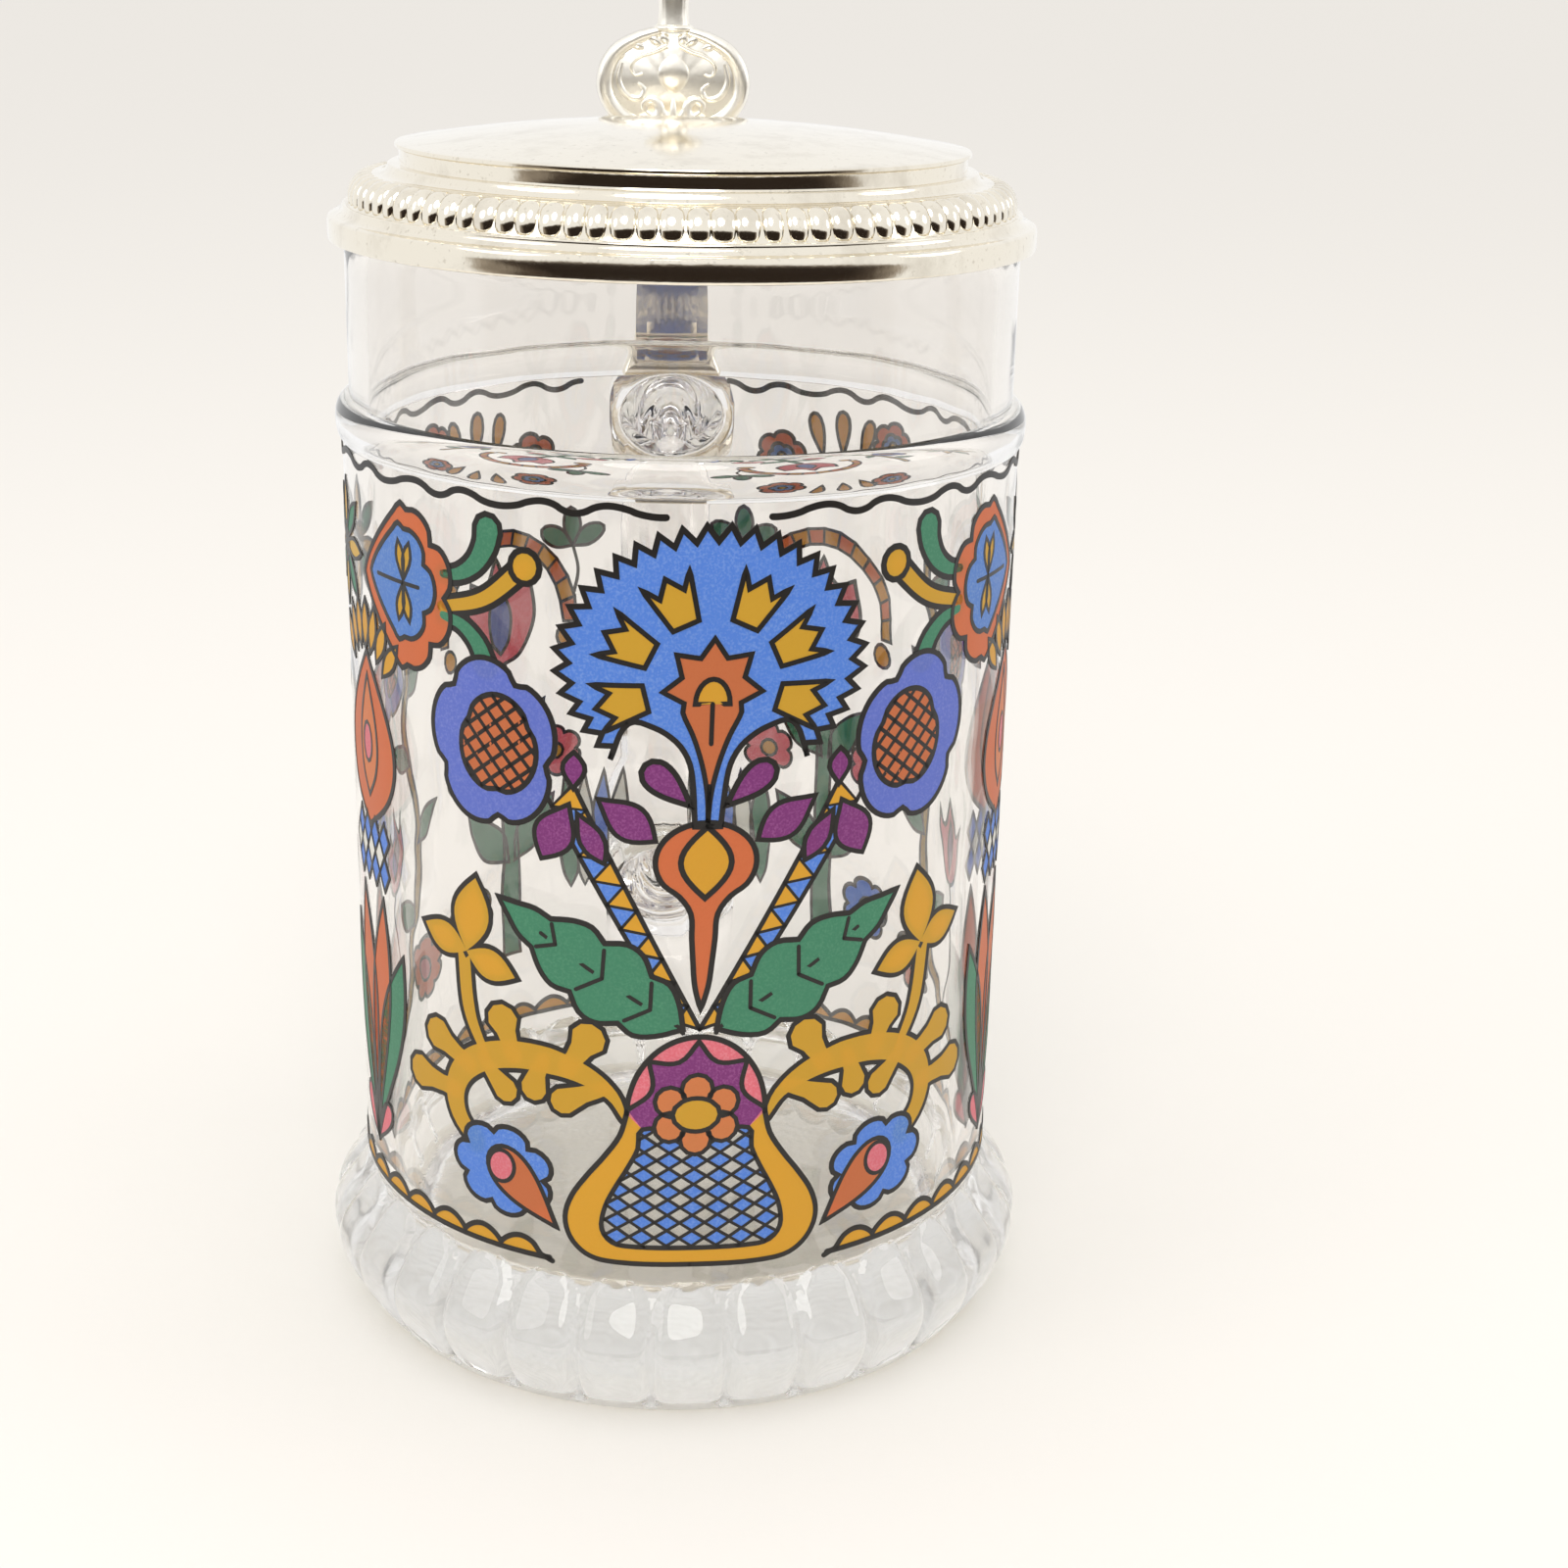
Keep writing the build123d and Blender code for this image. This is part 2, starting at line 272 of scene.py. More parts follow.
steps = panel_count * steps_per_panel
turns = [2 * math.pi * (i / steps) - math.pi / 2 for i in range(steps)]
rings = []
for radius, z in outside + inside:
    ring = []
    for i, a in enumerate(turns):
        r = foot_radius_at(z, a + math.pi / 2) if radius is None else radius
        if i in (0, steps // 2) and seam_low < z < seam_high and radius > bore_radius + 1.5:
            r += seam_lift
        ring.append((r * math.cos(a), r * math.sin(a), z))
    rings.append(ring)
mug_skin = skin(rings)

ear_width, ear_depth = 15.6, 11.4
ear_runs = ((14.3, 0.0), (24.0, 97.7), (30.6, 0.0), (19.0, 82.3), (15.2, 0.0))
ear_path, place, heading = [], Vector((41.25, 111.5)), 0.0
for size, bend in ear_runs:
    count = max(3, round(bend / 5)) if bend else max(3, round(size / 1.2))
    stride = 2 * size * math.sin(math.radians(bend / count) / 2) if bend else size / count
    for i in range(count):
        heading -= math.radians(bend / count) / 2
        ear_path.append((place.copy(), heading))
        place = place + Vector((math.cos(heading), math.sin(heading))) * stride
        heading -= math.radians(bend / count) / 2
ear_path.append((place.copy(), heading))
rings = []
for spot, heading in ear_path:
    clear = max(0.0, spot[0] - wall_radius)
    top_root = spot[1] > 80
    reach, gain = (1.5, 0.18) if top_root else (7.0, 0.32)
    swell = 1 + gain * max(0.0, 1 - clear / reach) ** 2
    rings.append([
        (swell * ear_width / 2 * math.cos(a),
         spot[0] - swell * ear_depth / 2 * math.sin(a) * math.sin(heading),
         spot[1] + swell * ear_depth / 2 * math.sin(a) * math.cos(heading))
        for a in round_turns(48)
    ])
ear_skin = skin(rings)


# Clear pressed glass: colourless but for a faint green in the thick foot, and bright where it bends
# light. Its skin keeps a slow ripple from the mould, about 12 mm from crest to crest. Light on its way
# to a lit surface passes straight through it, so it casts a faint shadow.
def pressed_glass(name, tint, shade_tint, rough, bump_scale, bump_strength, bump_depth):
    """Soda-lime glass with a tint of its own, another for its shadow, and a bumpy skin."""
    glass, tree = blank_material(name)
    place = add(tree, "ShaderNodeTexCoord").outputs["Object"]
    ripple = add(tree, "ShaderNodeTexNoise", inputs={"Vector": place, "Scale": bump_scale, "Detail": 1.0})
    bump = add(tree, "ShaderNodeBump", inputs={
        "Height": ripple.outputs[0], "Strength": bump_strength, "Distance": bump_depth})
    shader = add(tree, "ShaderNodeBsdfPrincipled", inputs={
        "Base Color": paint(tint), "Roughness": rough, "IOR": 1.52, "Transmission Weight": 1.0,
        "Normal": bump.outputs[0]})
    shade = add(tree, "ShaderNodeBsdfTransparent", inputs={0: paint(shade_tint)})
    ray = add(tree, "ShaderNodeLightPath")
    both = add(tree, "ShaderNodeMixShader", inputs={
        0: ray.outputs["Is Shadow Ray"], 1: shader.outputs[0], 2: shade.outputs[0]})
    add(tree, "ShaderNodeOutputMaterial", inputs={0: both.outputs[0]})
    return glass


clear_glass = pressed_glass("clear_pressed_glass", "#F9F8F7", "#F8FBF9", 0.0, 80.0, 0.25, 0.0004)
# Stippled glass: the mould's base plate is punched all over, which leaves the underside grey and dull
# between dots about 1.5 mm apart, so it doesn't show scratches.
stippled_glass = pressed_glass("stippled_pressed_glass", "#F3EEE6", "#E4DDD2", 0.28, 650.0, 0.35, 0.0003)

mug = make_piece("glass_mug", mug_skin, clear_glass, 30)
ear = make_piece("glass_ear", ear_skin, clear_glass, 30)
joined = mug.modifiers.new("ear", "BOOLEAN")
joined.operation, joined.object, joined.solver = "UNION", ear, "EXACT"
whole = bpy.data.meshes.new_from_object(mug.evaluated_get(bpy.context.evaluated_depsgraph_get()))
mug.modifiers.clear()
mug.data = whole
bpy.data.objects.remove(ear)
whole.materials.append(stippled_glass)
for face in whole.polygons:
    if face.normal.z < -0.3 and face.center.z < 2.0 * mm:
        face.material_index = 1
settle(mug, "mug")
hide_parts("mug_body", "mug_handle")


# Enamel print: opaque glass colours and black outlines, laid on the wall as a transfer and fired on
# in the kiln. It is drawn flat as millimetres round the wall and millimetres above the table, then
# wrapped; the whole sheet went on leaning by a degree and a half. Each colour is a thin skin, and
# what lies over another colour is the thicker on both sides, so it shows through the glass as well.
sheet_middle, sheet_lean, lean_height = math.radians(1.16), 0.026, 46.0
facets = 136
facet = 2 * math.pi * wall_radius / facets
skin_middle, skin_step, ink_level, ink_width = 0.095, 0.011, 6, 0.68
laid = {}


def on_wall(across, height, lift):
    """Wrap a flat place on a drum of many small flats, so that all the skins stay parallel."""
    cell = math.floor(across / facet)
    share = across / facet - cell
    ends = []
    for k in (cell, cell + 1):
        a = sheet_middle + k * 2 * math.pi / facets
        ends.append(Vector((math.sin(a), -math.cos(a), 0)) * (wall_radius + lift))
    spot = ends[0].lerp(ends[1], share)
    return spot.x, spot.y, height


def wrap(flat, colour, level):
    """Cut a flat shape where the drum bends, give it its thickness, and keep it with its colour."""
    low, high = min(v.co.x for v in flat.verts), max(v.co.x for v in flat.verts)
    if level != ink_level:
        for k in range(math.ceil(low / facet), math.floor(high / facet) + 1):
            bmesh.ops.bisect_plane(flat, geom=flat.verts[:] + flat.edges[:] + flat.faces[:],
                                   plane_co=(k * facet, 0, 0), plane_no=(1, 0, 0), dist=1e-5)
    points, faces = laid.setdefault(colour, ([], []))
    start, count = len(points), len(flat.verts)
    flat.verts.index_update()
    for side in (1, -1):
        lift = skin_middle + side * skin_step * (level + 0.5)
        points.extend(on_wall(v.co.x, v.co.y, lift) for v in flat.verts)
    for face in flat.faces:
        corners = [start + v.index for v in face.verts]
        faces.append(corners)
        faces.append([c + count for c in reversed(corners)])
    for edge in flat.edges:
        if len(edge.link_faces) == 1:
            a, b = (start + v.index for v in edge.verts)
            faces.append((a, b, b + count, a + count))
    flat.free()


def leaned(points, side=1):
    """Places on the leaning sheet, mirrored about its middle line when side is -1."""
    return [Vector((side * p[0] + sheet_lean * (p[1] - lean_height), p[1], 0)) for p in points]


def fill(colour, outline, level=1, sides=(1, -1)):
    """Lay one colour inside an outline."""
    for side in sides:
        flat = bmesh.new()
        corners = leaned(outline, side)
        made = [flat.verts.new(c) for c in corners]
        for three in geometry.tessellate_polygon([corners]):
            if len(set(three)) == 3:
                flat.faces.new([made[i] for i in three])
        wrap(flat, colour, level)


def stroke(path, width=ink_width, colour="black", level=ink_level, closed=False, sides=(1, -1)):
    """Lay a line of even or changing width along a path, with round ends."""
    marks = width if isinstance(width, (list, tuple)) else (width, width)
    widths = []
    for i in range(len(path)):
        k, share = divmod(i / (len(path) - 1) * (len(marks) - 1), 1)
        widths.append(marks[int(k)] + (marks[min(int(k) + 1, len(marks) - 1)] - marks[int(k)]) * share)
    for side in sides:
        flat = bmesh.new()
        spots = leaned(path, side)
        rows = []
        for i, spot in enumerate(spots):
            before = spots[i - 1] if i or closed else None
            after = spots[(i + 1) % len(spots)] if i + 1 < len(spots) or closed else None
            come = (spot - before).normalized() if before else (after - spot).normalized()
            go = (after - spot).normalized() if after else come
            along = come + go
            along = along.normalized() if along.length > 0.3 else come
            normal = Vector((-along.y, along.x, 0))
            miter = min(1.7, 1 / max(0.3, abs(normal.dot(Vector((-come.y, come.x, 0))))))
            half = normal * (widths[i] / 2 * miter)
            rows.append((flat.verts.new(spot + half), flat.verts.new(spot - half)))
        pairs = list(zip(rows, rows[1:])) + ([(rows[-1], rows[0])] if closed else [])
        for (a, b), (c, d) in pairs:
            flat.faces.new((a, c, d, b))
        if not closed:
            for row, spot, near, flip in ((rows[0], spots[0], spots[1], 1),
                                          (rows[-1], spots[-1], spots[-2], -1)):
                out = (spot - near).normalized() * (row[0].co - row[1].co).length / 2
                span = (row[0].co - row[1].co) / 2
                tip = [flat.verts.new(spot + span * math.cos(a) + out * math.sin(a))
                       for a in (math.pi * k / 5 for k in range(1, 5))]
                loop = [row[0], *tip, row[1]]
                flat.faces.new(loop if flip > 0 else loop[::-1])
        wrap(flat, colour, level)


def through(points, closed=True, step=0.8):
    """A smooth line through points; one that carries a third value is a sharp corner."""
    count, line = len(points), []
    spots = [Vector(p[:2]) for p in points]
    sharp = [len(p) > 2 for p in points]
    for i in range(count if closed else count - 1):
        a, b = spots[i], spots[(i + 1) % count]
        chord = b - a
        leave, reach = chord.copy(), chord.copy()
        if not sharp[i] and (closed or i):
            leave = (b - spots[i - 1]).normalized() * chord.length
        if not sharp[(i + 1) % count] and (closed or i + 2 < count):
            reach = (spots[(i + 2) % count] - a).normalized() * chord.length
        parts = max(1, round(chord.length / step))
        for k in range(parts):
            t = k / parts
            line.append(tuple(a * (2 * t**3 - 3 * t**2 + 1) + leave * (t**3 - 2 * t**2 + t)
                              + b * (3 * t**2 - 2 * t**3) + reach * (t**3 - t**2)))
    return line if closed else line + [tuple(spots[-1])]


def motif(colour, points, level=1, ink=ink_width, sides=(1, -1), step=0.8, ink_at=ink_level):
    """One outlined colour; returns its outline. A lower ink_at lets what comes later hide its line."""
    outline = through(points, step=step)
    fill(colour, outline, level, sides)
    if ink:
        stroke(outline, ink, level=ink_at, closed=True, sides=sides)
    return outline


def half_and_half(points):
    """A whole outline from its right half, listed from the top middle to the bottom middle."""
    left = [(-p[0], *p[1:]) for p in reversed(points) if abs(p[0]) > 0.01]
    return list(points) + left


def placed(points, at, size=1.0, spin=0.0):
    """A motif drawn about its own middle, put at a place with a size and a turn in degrees."""
    c, s = math.cos(math.radians(spin)) * size, math.sin(math.radians(spin)) * size
    return [(at[0] + c * p[0] - s * p[1], at[1] + s * p[0] + c * p[1], *p[2:]) for p in points]


def around(middle, wide, high, degrees):
    """A place on an oval about a middle."""
    a = math.radians(degrees)
    return middle[0] + wide * math.cos(a), middle[1] + high * math.sin(a)


def oval(wide, high, count=20):
    """An oval about its middle."""
    return [around((0, 0), wide, high, 360 * i / count) for i in range(count)]


def lobed(wide, high, lobes, depth=0.2, turned_by=0.0, per_lobe=8):
    """A round of lobes with sharp notches between them."""
    outline = []
    for i in range(lobes * per_lobe):
        share = i / per_lobe % 1.0
        swell = 1 - depth + depth * math.sin(math.pi * share) ** 0.6
        outline.append(around((0, 0), wide * swell, high * swell, 360 * i / (lobes * per_lobe) + turned_by))
    return outline


def zigzag(middle, wide, high, end, teeth, depth, tuck):
    """Saw teeth along an oval, as far to each side of its top as end, in degrees; its ends tuck in."""
    points = []
    for i in range(2 * teeth + 1):
        degrees = end * (i / teeth - 1)
        r = (1.0 if i % 2 == 0 else 1 - depth) * (1 - tuck * smooth_step((abs(degrees) - 78) / 53))
        points.append((*around(middle, wide * r, high * r, 90 - degrees), 1))
    return points


def inside_of(outline, spot):
    """Whether a place lies inside an outline."""
    hit = False
    for (x1, y1), (x2, y2) in zip(outline, outline[1:] + outline[:1]):
        if (y1 > spot[1]) != (y2 > spot[1]) and spot[0] < x1 + (spot[1] - y1) * (x2 - x1) / (y2 - y1):
            hit = not hit
    return hit


def hatch(outline, angle, gap, width=0.5, shift=0.0, middle=None, pace=0.2, reach=20.0, marks=8,
          sides=(1, -1)):
    """Straight black lines across an outline, a gap apart, ending at its edge."""
    if middle is None:
        middle = [sum(p[i] for p in outline) / len(outline) for i in (0, 1)]
    along = Vector(around((0, 0), 1, 1, angle))
    over = Vector((-along.y, along.x))
    for k in range(-12, 13):
        start = Vector(middle) + over * (k * gap + shift)
        steps = range(-round(reach / pace), round(reach / pace) + 1)
        run = [i * pace for i in steps if inside_of(outline, start + along * (i * pace))]
        if len(run) > marks * 0.45:
            stroke([tuple(start + along * (run[0] + (run[-1] - run[0]) * i / marks))
                    for i in range(marks + 1)], width, sides=sides)


def clipped(outline, cell):
    """The share of an outline inside a convex cell."""
    kept = list(outline)
    for (x1, y1), (x2, y2) in zip(cell, cell[1:] + cell[:1]):
        side = [(x2 - x1) * (p[1] - y1) - (y2 - y1) * (p[0] - x1) for p in kept]
        line = []
        for i, p in enumerate(kept):
            q, a, b = kept[i - 1], side[i - 1], side[i]
            if (a < 0) != (b < 0):
                line.append((q[0] + (p[0] - q[0]) * a / (a - b), q[1] + (p[1] - q[1]) * a / (a - b)))
            if b >= 0:
                line.append(p)
        kept = line
        if len(kept) < 3:
            return []
    return kept


def petal(long, wide, belly=0.5):
    """A petal, pointed at its root on the origin and at its tip straight above."""
    power = math.log(0.5) / math.log(belly)
    right = [(wide / 2 * math.sin(math.pi * (k / 6) ** power), long * k / 6) for k in range(1, 6)]
    return half_and_half([(0, 0, 1), *right, (0, long, 1)])


def drop(long, wide):
    """A drop, pointed at its root on the origin and round at its top."""
    return [(0, 0, 1)] + [(wide * 0.62 * math.sin(a) * math.sin(a / 2) ** 1.4,
                           long * (1 - math.cos(a)) / 2) for a in round_turns(16)[1:]]


def scalloped_leaf(long, wide, scallops, depth):
    """A leaf with rounded scallops and a sharp notch between each pair, and its veins."""
    right, veins = [], [[(0, long * k / 4) for k in range(4)]]
    for k in range(1, scallops * 3):
        share, notch = k / (scallops * 3), k % 3 == 0
        reach = wide / 2 * math.sin(math.pi * share ** 0.75) * (1 - depth if notch else 1.0)
        right.append((reach, long * share, *((1,) if notch else ())))
        if notch:
            veins += [[(side * reach * t, long * (share - 0.08 * (1 - t))) for t in (0.0, 0.4, 0.8)]
                      for side in (1, -1)]
    return half_and_half([(0, 0, 1), *right, (0, long, 1)]), veins


def profile_tulip(wide, high, lobes, depth):
    """A tulip seen from its side and lying down: pointed to the right, scalloped to the left."""
    point = [(wide * (1 - abs(k / 8) ** 1.3), high * k / 8, *((1,) if k == 0 else ())) for k in range(-8, 9)]
    crown = []
    for k in range(1, lobes * 6):
        swell = 1 - depth + depth * math.sin(math.pi * (k / 6 % 1)) ** 0.6
        crown.append((*around((0, 0), wide * swell, high * swell, 90 + 180 * k / (lobes * 6)),
                      *((1,) if k % 6 == 0 else ())))
    return point + crown


def vase_side(neck, belly, top, low, corner):
    """The right side of the vase, from its neck down to the middle of its foot."""
    side = [(neck + (belly - neck) * smooth_step(k / 5), top - (top - low - corner) * k / 5)
            for k in range(6)]
    side += [around((belly - corner, low + corner), corner, corner, -d) for d in (30, 60, 90)]
    return side + [(0, low)]


def grown(colour, limbs, edge=1.3):
    """Limbs of one colour that grow into each other, with one black line round them all."""
    for number, (path, widths) in enumerate(limbs):
        stroke(path, [w + edge for w in widths], "black", 1 + 0.08 * number)
        stroke(path, list(widths), colour, 2 + 0.08 * number)


# The borders: a wavy line under the moulded ring and a scalloped ribbon over the foot. Both stop
# short of the front bouquet's middle line and of the handle, and run out in a thin tail.
wave, wave_end = [], 123.7
for i in range(300):
    u = 6.0 + (wave_end - 6.0) * i / 299
    sway = math.sin(2 * math.pi * u / 9.4 + 0.5 * math.sin(u * 0.37))
    wave.append((u, 116.35 + 0.55 * math.copysign(abs(sway) ** 0.8, sway)))
stroke(wave, 0.8)
ribbon_low = [(18.0 + (wave_end - 18.0) * i / 180, 20.1) for i in range(181)]
ribbon_high = []
for i in range(361):
    u = 19.2 + (wave_end - 19.2) * i / 360
    rise = 0.5 + 1.75 * abs(math.sin(math.pi * (u - 19.2) / 5.8)) ** 0.75
    ribbon_high.append((u, 20.1 + rise * smooth_step((u - 18.2) / 2.2)))
fill("ochre", ribbon_low + ribbon_high[::-1], 1)
stroke(ribbon_low, 0.75)
stroke([(17.6, 19.7)] + ribbon_high, 0.7)

# The bouquet's carnation: a saw-edged blue fan that arches down to a narrow stem, with six cut
# tulips set round it and a pointed heart that runs down the stem.
fan_middle = 96.5
rim = zigzag((0, fan_middle), 19.0, 18.5, 130, 31, 0.1, 0.2)
under = [around((9.0, 84.5), 7.0, 7.0, d) for d in (85, 110, 135, 155, 175)]
under.append((1.5, 79.0, 1))
motif("blue", rim + under + [(-p[0], *p[1:]) for p in reversed(under)], 1, sides=(1,))
cut_tulip = [(1.5 * k - 3.0, 1.0 if k % 2 else 3.0, 1) for k in range(5)] + [(1.6, -3.0, 1), (-1.6, -3.0, 1)]
for turn in (25, 65, 105):
    motif("ochre", placed(cut_tulip, around((0, fan_middle), 11.0, 10.5, 90 - turn), 1.0, -turn), 2, 0.6)
heart = []
for k in range(6):
    r = 3.8 if k % 2 else 5.8
    heart.append((*around((0, 96.0), r, r, 90 - 24 * k), 1))
heart += [(3.4 * (1 - k / 5) ** 2, 93.0 - 13.5 * k / 5) for k in range(5)] + [(0, 79.5, 1)]
motif("terracotta", half_and_half(heart), 2, 0.6, sides=(1,))
dome = [around((0, 94.0), 2.0, 3.0, 15 * i) for i in range(13)]
fill("ochre", dome, 3, (1,))
stroke(dome, 0.6, closed=True, sides=(1,))
stroke([(0, 94.0 - 0.6 * i) for i in range(9)], 0.55, sides=(1,))

# The stem: two plum drops, an onion with a golden core, and the triangle-banded stalks.
motif("plum", placed(drop(7.5, 4.0), (2.0, 81.5), 1.0, -48))
onion = [around((0, 74.5), 6.0, 5.0, 90 - d) for d in range(0, 151, 25)]
onion += [(1.6 * (1 - k / 4) ** 0.5, 68.0 - 12.5 * k / 4) for k in range(4)] + [(0, 55.5, 1)]
motif("terracotta", half_and_half(onion), 3, sides=(1,))
motif("ochre", placed(petal(9.0, 6.0), (0, 70.0)), 4, 0.7, sides=(1,))
stroke([(0, 84.0 - i) for i in range(6)], 0.55, sides=(1,))
inner_edge = ((0.0, 53.0), (16.0, 83.5))
outer_edge = ((2.0, 52.5), (19.5, 82.0))


def on_stalk(edge, share):
    """A place along one edge of the stalk."""
    return tuple(a + (b - a) * share for a, b in zip(*edge))


points_along = [on_stalk(outer_edge if k % 2 else inner_edge, k / 20) for k in range(21)]
for k in range(19):
    fill("blue" if k % 2 else "ochre", points_along[k:k + 3], 1)
for line, width in ((points_along, 0.42), ([inner_edge[0], on_stalk(inner_edge, 0.5), inner_edge[1]], 0.6),
                    ([outer_edge[0], on_stalk(outer_edge, 0.5), outer_edge[1]], 0.6)):
    stroke(line, width, level=1.5)

# Leaves where the stalks meet the flowers, and the large green leaves over the vase.
for long, wide, spot, spin in ((8.0, 5.0, (16.5, 81.0), -155), (7.0, 3.0, (15.5, 80.0), 150),
                               (8.5, 4.5, (13.0, 82.0), 125), (4.5, 2.8, (16.0, 83.0), 0)):
    motif("plum", placed(petal(long, wide, 0.55), spot, 1.0, spin), 3, 0.6, ink_at=3.5)
leaf, veins = scalloped_leaf(28.0, 11.0, 4, 0.24)
motif("green", placed(leaf, (2.0, 53.0), 1.0, -58), 2)
for vein in veins:
    stroke(placed(vein, (2.0, 53.0), 1.0, -58), 0.5)

# The lobed flowers at the stalk ends, each with a cross-hatched heart.
motif("violet", placed(lobed(9.0, 10.5, 5, 0.16, 54), (27.0, 87.0), 1.0, -8), 4)
seed_head = motif("terracotta", placed(lobed(5.4, 6.2, 3, 0.12, 30), (26.0, 87.0)), 5)
hatch(seed_head, 48, 1.75)
hatch(seed_head, -38, 1.75, shift=0.6)

# The vase: a pink cap with a star-edged plum field and a six-petalled flower, over a golden body
# with a window of blue and clear lozenges.
rim_low = [(6.5, 39.5, 1), (0, 38.5)]
cap = [around((0, 41.5), 8.5, 10.5, 90 - d) for d in (0, 20, 40, 60, 78)] + [(8.5, 41.5, 1)]
star = [around((0, 42.0), 6.0, 7.2, 90 - 22.5 * k) if k % 2 else
        (*around((0, 42.0), 8.4, 9.4, 90 - 22.5 * k), 1) for k in range(5)]
for colour, arch, level, line in (("pink", cap, 2, ink_width), ("plum", star, 3, 0.6)):
    fill(colour, through(half_and_half(arch + rim_low)), level, (1,))
    stroke(through([(-p[0], *p[1:]) for p in arch[:0:-1]] + arch, False), line, sides=(1,))
window_side = vase_side(6.5, 11.3, 39.5, 23.2, 2.8)
body_side = vase_side(8.5, 16.0, 41.5, 20.9, 5.5)
window = through(half_and_half([(0, 39.0)] + window_side))
for side in (1, -1):
    fill("ochre", through(body_side, False) + through(window_side[::-1], False), 2, (side,))
    stroke(through(body_side, False), sides=(side,))
stroke(window, 0.6, closed=True, sides=(1,))
lozenge_wide, lozenge_high = 3.1, 2.15
for row in range(-4, 5):
    for column in range(-4, 5):
        u, z = column * lozenge_wide, 31.0 + row * lozenge_high
        cell = [(u + lozenge_wide / 2, z), (u, z + lozenge_high / 2), (u - lozenge_wide / 2, z),
                (u, z - lozenge_high / 2)]
        share = clipped(window, cell)
        if len(share) > 2:
            fill("blue", share, 1, (1,))
slope = math.degrees(math.atan2(lozenge_high, lozenge_wide))
for angle in (slope, -slope):
    hatch(window, angle, lozenge_wide * math.sin(math.radians(slope)), 0.38,
          middle=(0, 31.0 + lozenge_high / 2), pace=0.15, reach=21.0, marks=12, sides=(1,))
for k in range(6):
    motif("orange", placed(oval(1.9, 2.0, 12), around((0, 41.6), 3.7, 3.4, 60 * k + 90)), ink_level + 1,
          0.55, (1,), ink_at=ink_level + 1.5)
motif("ochre", placed(oval(2.9, 2.25, 14), (0, 41.6)), ink_level + 2, 0.6, (1,), ink_at=ink_level + 3)

# The golden vine: one arched branch from the vase's shoulder with knobs above and fingers below, a
# stalk to a trefoil, and its end dropping into a small blue flower.


def on_branch(degrees, reach=1.0):
    """A place on the arch of the branch, or inside or outside it."""
    return around((20.5, 39.5), 12.0 * reach, 8.0 * reach, degrees)


limbs = [(through([on_branch(d) for d in range(172, -47, -24)], False, 0.9),
          (0.5, 2.2, 3.5, 3.6, 3.5, 3.0, 2.2))]
for degrees in (112, 76, 36, 4):
    limbs.append(([on_branch(degrees, 1.0 + 0.18 * k) for k in range(4)], (2.6, 2.3, 2.8, 4.4)))
for degrees in (140, 96, 52):
    limbs.append(([on_branch(degrees - 3 * k, 1.0 - 0.26 * k) for k in range(3)], (1.8, 2.2, 3.4)))
limbs.append((through([on_branch(55), (30.0, 51.5), (31.0, 59.5)], False, 0.9), (1.2, 1.9, 1.9)))
grown("ochre", limbs)
for number, (long, wide, spin) in enumerate(((7.5, 4.0, 105), (7.5, 4.0, -75), (10.0, 5.4, 8))):
    leaf = through(placed(petal(long, wide), (30.5, 59.5), 1.0, spin))
    stroke(leaf, 1.3, level=2.5 + 0.1 * number, closed=True)
    fill("ochre", leaf, 3.5 + 0.1 * number)
bloom = placed(lobed(7.5, 6.2, 7, 0.2, 20), (25.0, 31.0), 1.0, 8)
fill("blue", bloom, 4)
stroke(bloom, level=4.5, closed=True)
motif("terracotta", placed(drop(13.0, 6.6), (17.0, 24.5), 1.0, -46), 5, 0.6)
fill("pink", placed(oval(1.9, 2.2, 14), (25.0, 31.5), 1.0, 12), ink_level + 1)
stroke(placed(oval(1.9, 2.2, 24), (25.0, 31.5), 1.0, 12), 0.55, level=ink_level + 2, closed=True)

# The tulips in profile beside the carnation, with their curls and the golden drumstick between.
motif("terracotta", placed(profile_tulip(9.5, 10.2, 4, 0.16), (42.0, 103.5)), 2)
motif("blue", placed(profile_tulip(7.0, 7.2, 3, 0.18), (42.5, 104.0)), 3, 0.65)
for spin in (-12, 14, 166, 192):
    motif("ochre", placed(petal(5.0, 1.6, 0.6), (41.5, 104.2), 1.0, spin), 4, 0.5)
stroke([(47.5 - i, 104.0) for i in range(10)], 0.5)
curl_up = [around((34.0, 113.0), 6.5, 6.5, d) for d in (272, 250, 225, 200, 182)]
curl_low = [around((34.0, 95.0), 6.5, 6.5, d) for d in (88, 115, 142, 165)]
grown("green", [(through(curl_up, False), (1.0, 2.9)), (through(curl_low, False), (1.0, 2.3))], 1.5)
grown("ochre", [(through([(34.5, 102.5), (28.0, 104.5), (22.5, 109.0)], False), (1.3, 1.9))], 1.5)
motif("ochre", placed(oval(1.9, 2.0, 14), (22.5, 109.0)), 3, 0.75)

